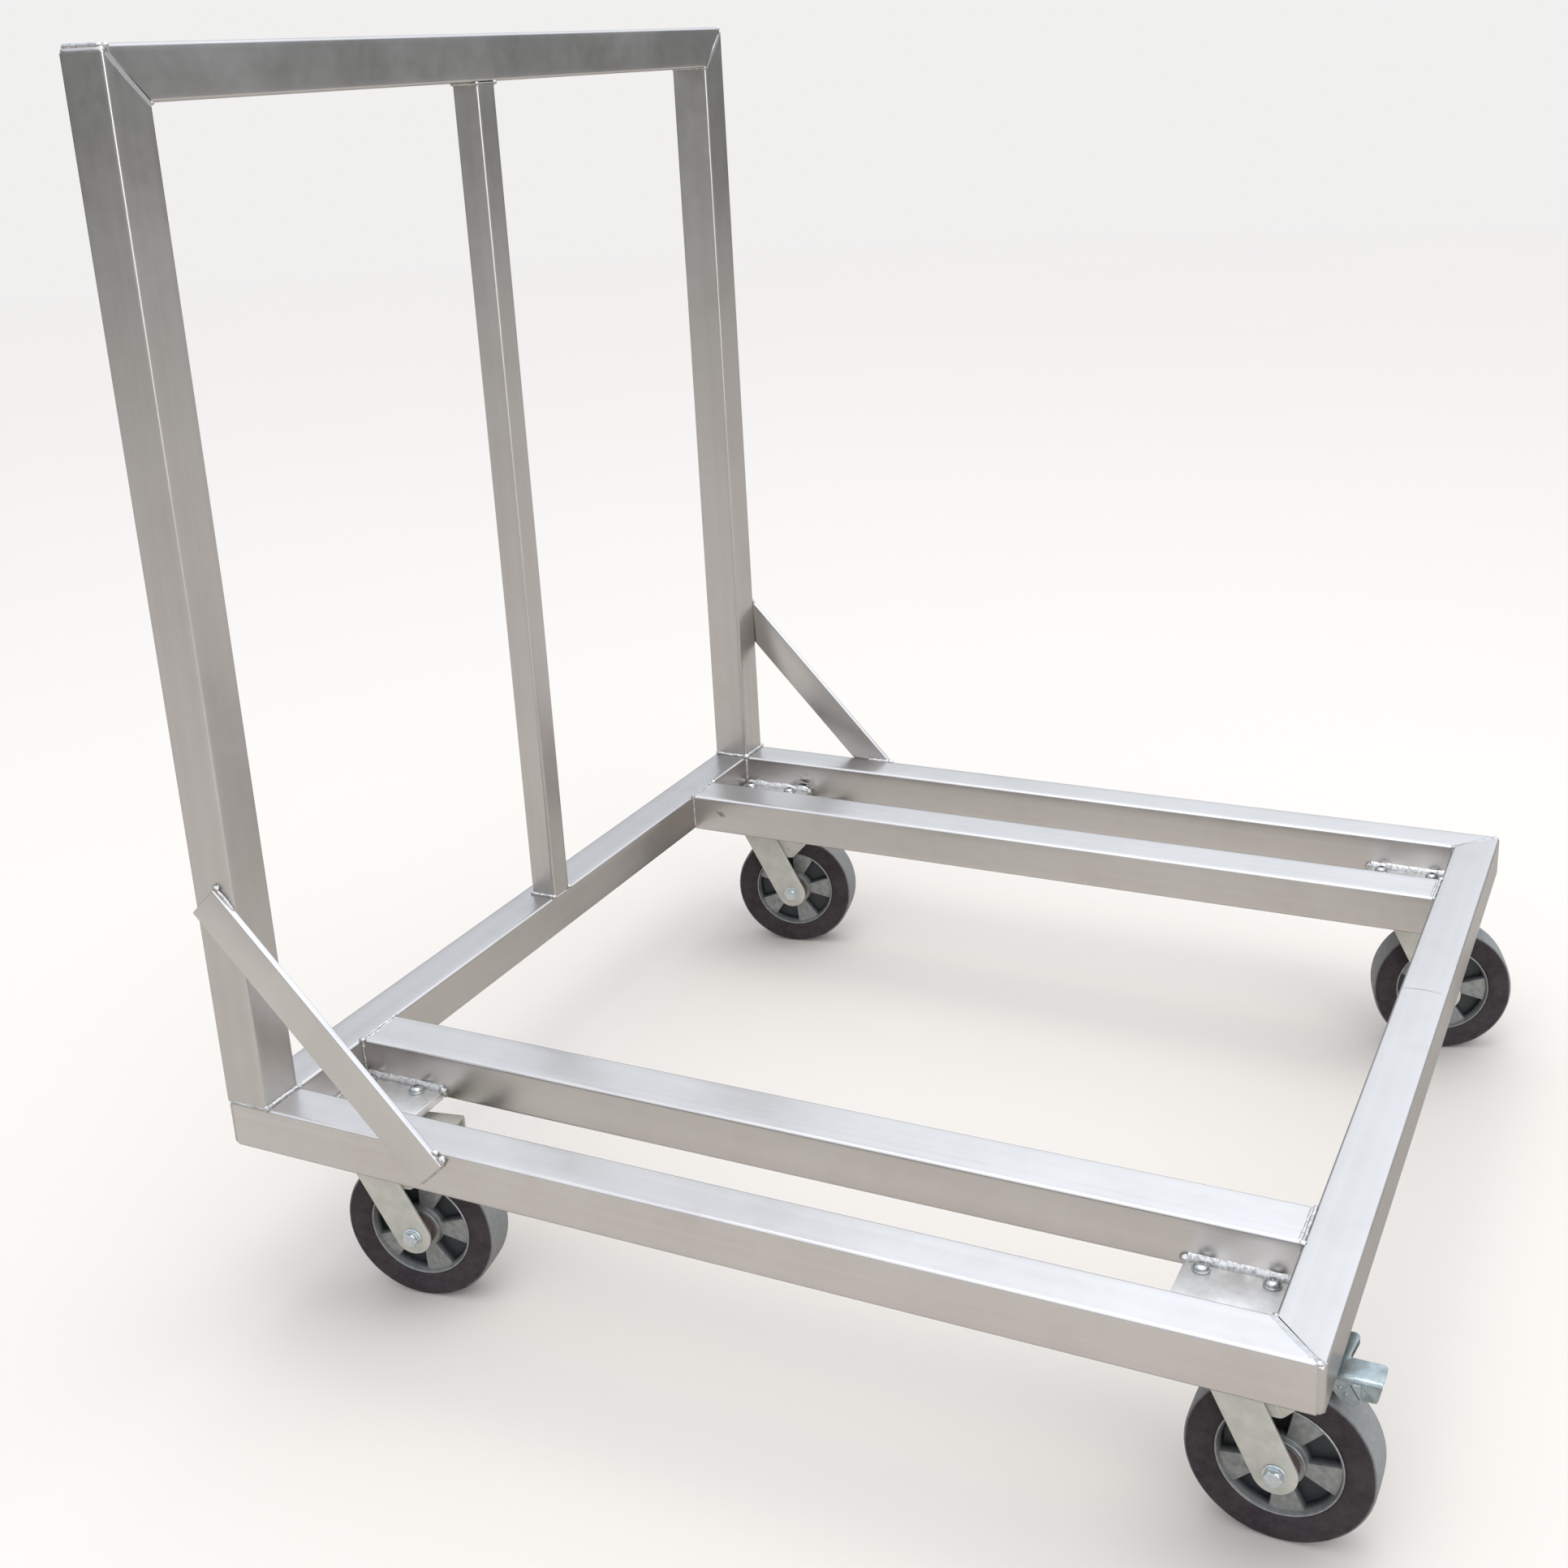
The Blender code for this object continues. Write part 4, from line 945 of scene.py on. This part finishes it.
def axle_bolt_mesh(size):
    """Hexagon head, nut and two washers on a shank, along Z."""
    seat = size["leg_out"] + 0.0003
    flats, washer, shank = 0.018, 0.0015, 0.006
    rise = seat + washer
    end = rise + 0.0075
    hexagon = [
        (shank, seat), (0.0122, seat), (0.0125, seat + 0.0003), (0.0125, rise - 0.0003),
        (0.0122, rise), (0.0090, rise), (0.0088, rise + 0.0003),
        (flats, rise + 0.0005, "hex"), (flats, end - 0.0012, "hex"),
    ]
    head = hexagon + [(flats / 2 * 0.97, end - 0.0002), (flats / 2 * 0.90, end), (0.0020, end)]
    nut = hexagon + [
        (flats / 2 * 0.94, end - 0.0003), (shank + 0.0004, end - 0.0003), (shank, end), (0.0020, end),
    ]
    profile = [(item[0], -item[1], *item[2:]) for item in reversed(nut)] + head
    return lathe("axle_bolt", profile, 48)


def bearing_mesh(size):
    """Brown sleeve whose end shows as two rings round the spacer."""
    reach = size["leg_out"] - LEG_THICKNESS - 0.0008
    face = [(0.0066, reach), (0.0105, reach), (0.0108, reach - 0.0012), (0.0128, reach - 0.0012)]
    face += [(0.0131, reach), (0.0212, reach), (0.0220, reach - 0.0008)]
    profile = face + [(radius, -height) for radius, height in reversed(face)]
    return lathe("hub_bearing", profile, 48, closed=True)


def rim_mesh(size):
    """Cast centre: broad flat spokes between deep pockets with drafted walls, hub ring and thin lip."""
    half, hub_half, outer = size["tyre_half"], size["hub_half"], size["rim_radius"]
    recess, deep, draft = 0.005, 0.017, SPOKE_DRAFT
    sector = math.pi / SPOKES
    hub, lip = 0.0275, outer - 0.0026
    pocket_in, pocket_out = hub + 0.0012, lip - 0.0012

    def wall(distance):
        """1 on the spoke's side and 0 on the pocket's floor, rounded at both edges."""
        share = max(0.0, min(1.0, (distance + draft) / (2 * draft)))
        return share * share * (3 - 2 * share)

    steps = [-draft, -0.0009, -0.0004, 0.0, 0.0004, 0.0009, draft]
    columns = []
    for index in range(2 * SPOKES):
        centre = index * sector
        is_spoke = index % 2 == 0
        for step in steps:
            columns.append((centre - sector / 2 + step / 0.045, step if is_spoke else -step))
        for part in (-0.30, -0.15, 0.0, 0.15, 0.30):
            columns.append((centre + part * sector, 1.0 if is_spoke else -1.0))
    radii = [pocket_in + step + draft for step in steps]
    radii += [pocket_in + (pocket_out - pocket_in) * part for part in (0.2, 0.35, 0.5, 0.65, 0.8)]
    radii += [pocket_out + step - draft for step in steps]

    profile = [(0.0223, hub_half, 0), (hub - 0.0006, hub_half, 0), (hub, hub_half - 0.0006, 0)]
    profile += [(hub + 0.0006, half - recess + 0.0008, 0)]
    profile += [(radius, half - recess, 1) for radius in radii]
    profile += [
        (lip - 0.0010, half - recess + 0.0006, 0), (lip, half - 0.0012, 0), (lip + 0.0006, half - 0.0003, 0),
        (lip + 0.0014, half, 0), (outer - 0.0008, half, 0), (outer, half - 0.0008, 0),
    ]

    rings = []
    for facing in (1, -1):
        order = profile if facing > 0 else list(reversed(profile))
        for radius, height, sinks in order:
            ring = []
            for angle, distance in columns:
                level = height
                if sinks:
                    side = wall(distance)
                    inner = wall(pocket_in - radius + draft)
                    rim_side = wall(radius - pocket_out + draft)
                    level = height - (deep - recess) * (1 - max(side, inner, rim_side))
                ring.append((radius * math.cos(angle), radius * math.sin(angle), facing * level))
            rings.append(ring)
    mesh = rings_to_mesh("rim", rings, closed=True, smooth_angle=32)
    level, floor = half - recess, half - deep
    # How far each point sinks into a pocket, which the rim material turns into painted shade (with some
    # grime) in the pockets.
    paint(mesh, "deep", [
        max(0.0, min(1.0, (level - abs(v.co.z)) / (level - floor))) if v.co.xy.length > hub else 0.0
        for v in mesh.vertices
    ])
    return mesh


def tyre_mesh(size):
    """Solid tyre: flat sides with a moulded step by the rim, soft shoulders and a faintly crowned tread."""
    radius, half, bore = size["tyre_radius"], size["tyre_half"], size["rim_radius"] + 0.0003
    shoulder = 0.0045
    face = [(bore, half - 0.0012), (bore + 0.0006, half - 0.0004), (bore + 0.0030, half - 0.0002)]
    face += [(bore + 0.0036, half), (radius - shoulder - 0.004, half)]
    face += [(r, z) for z, r in arc(half - shoulder, radius - shoulder - 0.0004, shoulder, 0, 90, 7)]
    tread = [(radius - 0.0001, half * 0.5), (radius, 0)]
    profile = face + tread + [(r, -z) for r, z in reversed(face + tread[:1])]
    return lathe("tyre", profile, 144, closed=True, smooth_angle=50)


def caster_plate_mesh(size):
    """Rounded plate, ball race with its groove, and the kingpin's nut, all round the swivel axis."""
    low, high = size["plate"]
    top, floor = high.z, high.z - 0.005
    crown_top = size["crown_top"]
    outline = rounded_rectangle(high.x - low.x, high.y - low.y, 0.010, 6)
    shells = [softened(prism("plate", outline, floor, top), 0.0008, 2, 60)]
    race = [
        (0.0385, floor + 0.001), (0.0425, floor - 0.0015), (0.0430, floor - 0.0030),
        (0.0415, floor - 0.0042), (0.0415, floor - 0.0054), (0.0430, floor - 0.0064),
        (0.0430, crown_top + 0.0006), (0.0422, crown_top + 0.0002), (0.0100, crown_top + 0.0002),
    ]
    shells.append(lathe("race", race, 56))
    under = crown_top - CROWN_THICKNESS - 0.0046
    nut = [
        (0.0080, under + 0.012), (0.0080, under), (0.0128, under), (0.0240, under - 0.0004, "hex"),
        (0.0240, under - 0.0046, "hex"), (0.0116, under - 0.0050), (0.0082, under - 0.0050),
        (0.0078, low.z + 0.0003), (0.0070, low.z),
    ]
    shells.append(lathe("nut", nut, 48))
    return joined("caster_plate", shells)


def make_casters(finishes):
    size = caster_sizes()
    fork, axle, bearing = fork_mesh(size), axle_bolt_mesh(size), bearing_mesh(size)
    rim, tyre = rim_mesh(size), tyre_mesh(size)
    plate = caster_plate_mesh(size)
    for name in CASTERS:
        swivel = swivel_matrix(name)
        upright = Matrix.Translation(swivel.to_translation())
        hub = swivel @ Matrix.Translation((size["trail"], 0, size["axle"])) @ ACROSS
        spin = Matrix.Rotation(rim_phase(name, hub), 4, "Z")
        turning, rolling = f"swivel_{name}", f"wheel_{name}"
        for kind, detail, mesh, look, body, slot, place in (
            ("caster_plate", "race", plate, "zinc", "frame", "zinc_plate", upright),
            ("fork", "pressing", fork, "fork", turning, "fork_steel", swivel),
            ("axle_bolt", "hex", axle, "zinc", turning, "zinc_plate", hub),
            ("hub_bearing", "sleeve", bearing, "bearing", rolling, "bearing", hub),
            ("rim", "casting", rim, "rim", rolling, "rim_alloy", hub @ spin),
            ("tyre", "rubber", tyre, "rubber", rolling, "tyre_rubber", hub),
        ):
            node_name = f"{kind}_{name}"
            piece(f"{node_name}_{detail}", mesh, finishes[look], body, place, [node_name])


def rim_phase(name, hub):
    """How far round the CAD rim's first spoke stands, read from where its face is least sunk."""
    inverse = hub.inverted()
    points = [inverse @ vertex.co for vertex in frame["nodes"][f"rim_{name}"].data.vertices]
    reach = max(point.xy.length for point in points)
    inner = [p for p in points if 0.4 * reach < p.xy.length < 0.95 * reach and p.z > 0]
    top = max(point.z for point in inner)
    on_spokes = [p for p in inner if p.z > top - 0.002]
    total = sum((complex(p.x, p.y) / p.xy.length) ** SPOKES for p in on_spokes)
    return math.atan2(total.imag, total.real) / SPOKES


# Brake


def fold(near_y, top, radius, thickness, start, end):
    """The rolled edge between a flat top and the side below it, on the right-hand side."""
    outer = arc(near_y + radius, top - radius, radius, 90, 180, 7)
    inner = arc(near_y + radius, top - radius, radius - thickness, 180, 90, 4)
    return prism("fold", outer + inner, start, end, "YZX")


def make_brake(finishes):
    """Stamped pedal with a tongue, a wing, two sides and a ribbed skirt, dark strips of painted shade on it,
    its pin, and the rubber shoe.
    """
    pivot = Vector(JOINTS["brake_pedal_hinge"]["pos_m"])
    low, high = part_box("brake_pedal")
    place = Matrix.Translation(pivot)
    thickness = 0.0025
    top, left, right = high.z - pivot.z, high.y - pivot.y, low.y - pivot.y
    front = high.x - pivot.x
    start, step, tongue = front - 0.049, front - 0.0375, right + 0.035
    body_end, roll, inset, corner, wing = 0.0365, 0.0058, 0.0014, 0.0055, step + 0.0035
    rolled = right + roll
    outline = [
        (start, rolled), (body_end, rolled), (body_end, rolled + inset), (front, rolled + inset),
        *arc(front - corner, tongue - corner, corner, 0, 90, 6),
        *arc(step + 0.0035, tongue + 0.0035, 0.0035, 270, 180, 5),
        *arc(wing - corner - 0.002, left - corner - 0.002, corner + 0.002, 0, 90, 7), (start, left),
    ]
    shells = [softened(prism("top", outline, top - thickness, top), 0.0008, 3)]
    shells.append(fold(right, top, roll, thickness, start, body_end))
    shells.append(fold(right + inset, top, roll, thickness, body_end, front - 0.0008))

    near, side_top = right + thickness, top - roll + 0.0002
    lobe = arc(front - 0.031, top - 0.019, 0.012, 215, 330, 12)
    knuckle = [(start, side_top), *arc(0, 0, 0.0075, 110, 270, 8), (0.016, -0.0015)]
    body = [*knuckle, *lobe, (lobe[-1][0], side_top)]
    shells.append(softened(prism("near_side", body, right, near, "XZY"), 0.0007, 2))
    far = [*knuckle, (step - 0.004, -0.0015), (step - 0.004, side_top)]
    shells.append(softened(prism("far_side", far, -near, -right, "XZY"), 0.0007, 2))

    floor = low.z - pivot.z + 0.0085
    skirt = [(body_end + 0.003, side_top), (0.0462, floor - 0.0010)]
    skirt += [*arc(front - 0.0080, floor + 0.0045, 0.0045, 270, 350, 5), (front - 0.0010, side_top)]
    shells.append(softened(prism("tongue_side", skirt, right + inset, near + inset, "XZY"), 0.0007, 2))
    for shift in (0.0, 0.0030):
        rib_start, rib_end = 0.0455 + shift, 0.0555 + shift
        rib = [(rib_start, side_top - 0.003), (rib_end, floor), (rib_end + 0.0013, floor)]
        rib += [(rib_start + 0.0013, side_top - 0.003)]
        shells.append(softened(prism("rib", rib, right + inset - 0.0007, near, "XZY"), 0.0004, 2))
    for x, z in ((0.0240, 0.0026), (0.0300, -0.0043)):
        rivet = lathe("rivet", [(0.0004, 0.0013), (0.0012, 0.0011), (0.0020, 0.0004), (0.0024, -0.0006)], 24)
        rivet.transform(Matrix.Translation((x, right, z)) @ ACROSS)
        shells.append(rivet)
    mesh = joined("brake_pedal", shells)
    piece("brake_pedal_stamping", mesh, finishes["pedal"], "pedal", place, ["brake_pedal"])

    # Painted shade: a dark strip in the side's oblique groove and a dark block for the shadow along the
    # wing's edge.
    groove = [(0.0335, 0.0085), (0.0345, 0.0088), (0.0437, -0.0065), (0.0428, -0.0068)]
    dark = [prism("groove", groove, right - 0.00012, near, "XZY")]
    edge = [(step - 0.0020, tongue + 0.004), (step + 0.0003, tongue + 0.004)]
    edge += [(wing + 0.0003, left - 0.0085), (wing - 0.0020, left - 0.0085)]
    dark.append(softened(prism("wing_edge", edge, top - 0.007, top - 0.0012), 0.0006, 2))
    mesh = joined("brake_pedal_shade", dark)
    piece("brake_pedal_painted_shade", mesh, finishes["mark"], "pedal", place)

    low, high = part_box("brake_pin")
    half = (high.y - low.y) / 2
    pin = [(0.0005, half), (0.0045, half - 0.0002), (0.0065, half - 0.0012), (0.0065, half - 0.0020)]
    pin += [(0.0040, half - 0.0020)]
    pin += [(radius, -height) for radius, height in reversed(pin)]
    mesh = lathe("brake_pin", pin, 32)
    piece("brake_pin_rivet", mesh, finishes["zinc"], "pedal", place @ ACROSS, ["brake_pin"])

    shoe = frame["nodes"]["brake_shoe"]
    shoe.material_slots[0].material = finishes["shoe"]
    shoe.modifiers.new("weld", "WELD").merge_threshold = 0.00001
    edge = shoe.modifiers.new("edge", "BEVEL")
    edge.width, edge.segments, edge.limit_method = 0.0015, 3, "ANGLE"


def make_scratch(finishes):
    """A thin wavy scratch across the front bar's top."""
    low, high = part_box("crossbar_front")
    rings, count = [], 40
    for step in range(count + 1):
        share = step / count
        x = low.x + 0.002 + (high.x - low.x - 0.010) * share
        y = 0.1196 + 0.0035 * math.sin(math.pi * share) + 0.0012 * wobble(x * 160, 0, 0)
        half = 0.00045 * (0.4 + 0.6 * math.sin(math.pi * share))
        near, far, sunk, proud = y - half, y + half, high.z - 0.0002, high.z + 0.00005
        rings.append([(x, near, sunk), (x, near, proud), (x, far, proud), (x, far, sunk)])
    frame_piece("scratch_front_bar", rings_to_mesh("scratch", rings), finishes["mark"])


# Stage


def make_camera():
    data = bpy.data.cameras.new("camera")
    data.lens, data.sensor_width = CAMERA_LENS, SENSOR_WIDTH
    data.shift_x, data.shift_y = CAMERA_SHIFT
    data.clip_start, data.clip_end = 0.05, 200
    camera = bpy.data.objects.new("camera", data)
    LINK(camera)
    camera.location = CAMERA_PLACE
    camera.rotation_euler = [math.radians(degrees) for degrees in CAMERA_TURN]
    bpy.context.scene.camera = camera


def make_world():
    """A cool bright sky, dimmer behind the trolley, with a grey band at the horizon and a tall window."""
    world = bpy.data.worlds.new("studio")
    bpy.context.scene.world = world
    world.use_nodes = True
    tree = world.node_tree
    direction = node(tree, "ShaderNodeTexCoord").outputs["Generated"]
    parts = node(tree, "ShaderNodeSeparateXYZ", {"Vector": direction}).outputs
    ramp = node(tree, "ShaderNodeValToRGB", {"Fac": spread(tree, parts["Z"], -1, 1, 0, 1)})
    elements = ramp.color_ramp.elements
    while len(elements) < len(SKY):
        elements.new(0.5)
    for element, (height, colour) in zip(elements, SKY):
        element.position = (height + 1) / 2
        element.color = (*(value / SKY_STRENGTH for value in colour), 1)
    behind = spread(tree, parts["X"], -0.65, -0.05, DIM_BEHIND, 1.0)
    upper = spread(tree, parts["Z"], 0.05, 0.3, 0, 1)
    colour = mix(tree, upper, ramp.outputs[0], behind, "MULTIPLY")
    flat = vector_math(tree, "MULTIPLY", direction, (1, 1, 0))
    flat = vector_math(tree, "NORMALIZE", flat)
    toward = vector_math(tree, "DOT_PRODUCT", flat, WINDOW_TOWARD, output="Value")
    beside = spread(tree, toward, *WINDOW_EDGE, 0, 1)
    below = spread(tree, parts["Z"], *WINDOW_TOP, 1, 0)
    window = arithmetic(tree, "MULTIPLY", beside, below)
    colour = mix(tree, window, colour, WINDOW_COLOUR)
    background = tree.nodes["Background"]
    tree.links.new(colour, background.inputs["Color"])
    background.inputs["Strength"].default_value = SKY_STRENGTH


def make_stage():
    """A pale floor as far as the tubes mirror it, and a backdrop of its colour that only the camera sees."""
    work = bmesh.new()
    bmesh.ops.create_circle(work, cap_ends=True, segments=96, radius=FLOOR_RADIUS)
    floor = written(work, bpy.data.meshes.new("floor"))
    made, tree, shader = finish("pale_floor", 0.9, 0.0, Specular_IOR_Level=0.0)
    tone = cloud(tree, 0.6, 3)
    darker, lighter = ([share * value for value in FLOOR_COLOUR] + [1] for share in (0.99, 1.01))
    colour = mix(tree, tone, darker, lighter)
    tree.links.new(colour, shader.inputs["Base Color"])
    floor.materials.append(made)
    ground = bpy.data.objects.new("floor", floor)
    LINK(ground)

    work = bmesh.new()
    bmesh.ops.create_uvsphere(work, u_segments=48, v_segments=24, radius=BACKDROP_RADIUS)
    dome = written(work, bpy.data.meshes.new("backdrop"))
    made, tree, shader = finish("pale_backdrop", 1.0, 0.0, Specular_IOR_Level=0.0)
    shader.inputs["Base Color"].default_value = (0, 0, 0, 1)
    shader.inputs["Emission Color"].default_value = (*BACKDROP_COLOUR, 1)
    shader.inputs["Emission Strength"].default_value = 1.0
    dome.materials.append(made)
    backdrop = bpy.data.objects.new("backdrop", dome)
    LINK(backdrop)
    for ray in ("diffuse", "glossy", "transmission", "volume_scatter", "shadow"):
        setattr(backdrop, f"visible_{ray}", False)

    data = bpy.data.lights.new("overhead", "AREA")
    data.shape, data.size, data.energy, data.color = "DISK", LAMP_SIZE, LAMP_POWER, LAMP_COLOUR
    overhead = bpy.data.objects.new("overhead", data)
    LINK(overhead)
    overhead.location = LAMP_PLACE


def main():
    noise.seed_set(NOISE_SEED)
    make_camera()
    make_world()
    make_stage()
    bpy.context.scene.view_settings.view_transform = "Standard"
    finishes = make_finishes()
    inner_rail_welds(finishes)
    mounting_plate_welds(finishes)
    base_corner_welds(finishes)
    upright_welds(finishes)
    brace_welds(finishes)
    make_tubes(finishes)
    make_braces(finishes)
    make_mounting_plates(finishes)
    make_plate_bolts(finishes)
    make_casters(finishes)
    make_brake(finishes)
    make_scratch(finishes)


main()
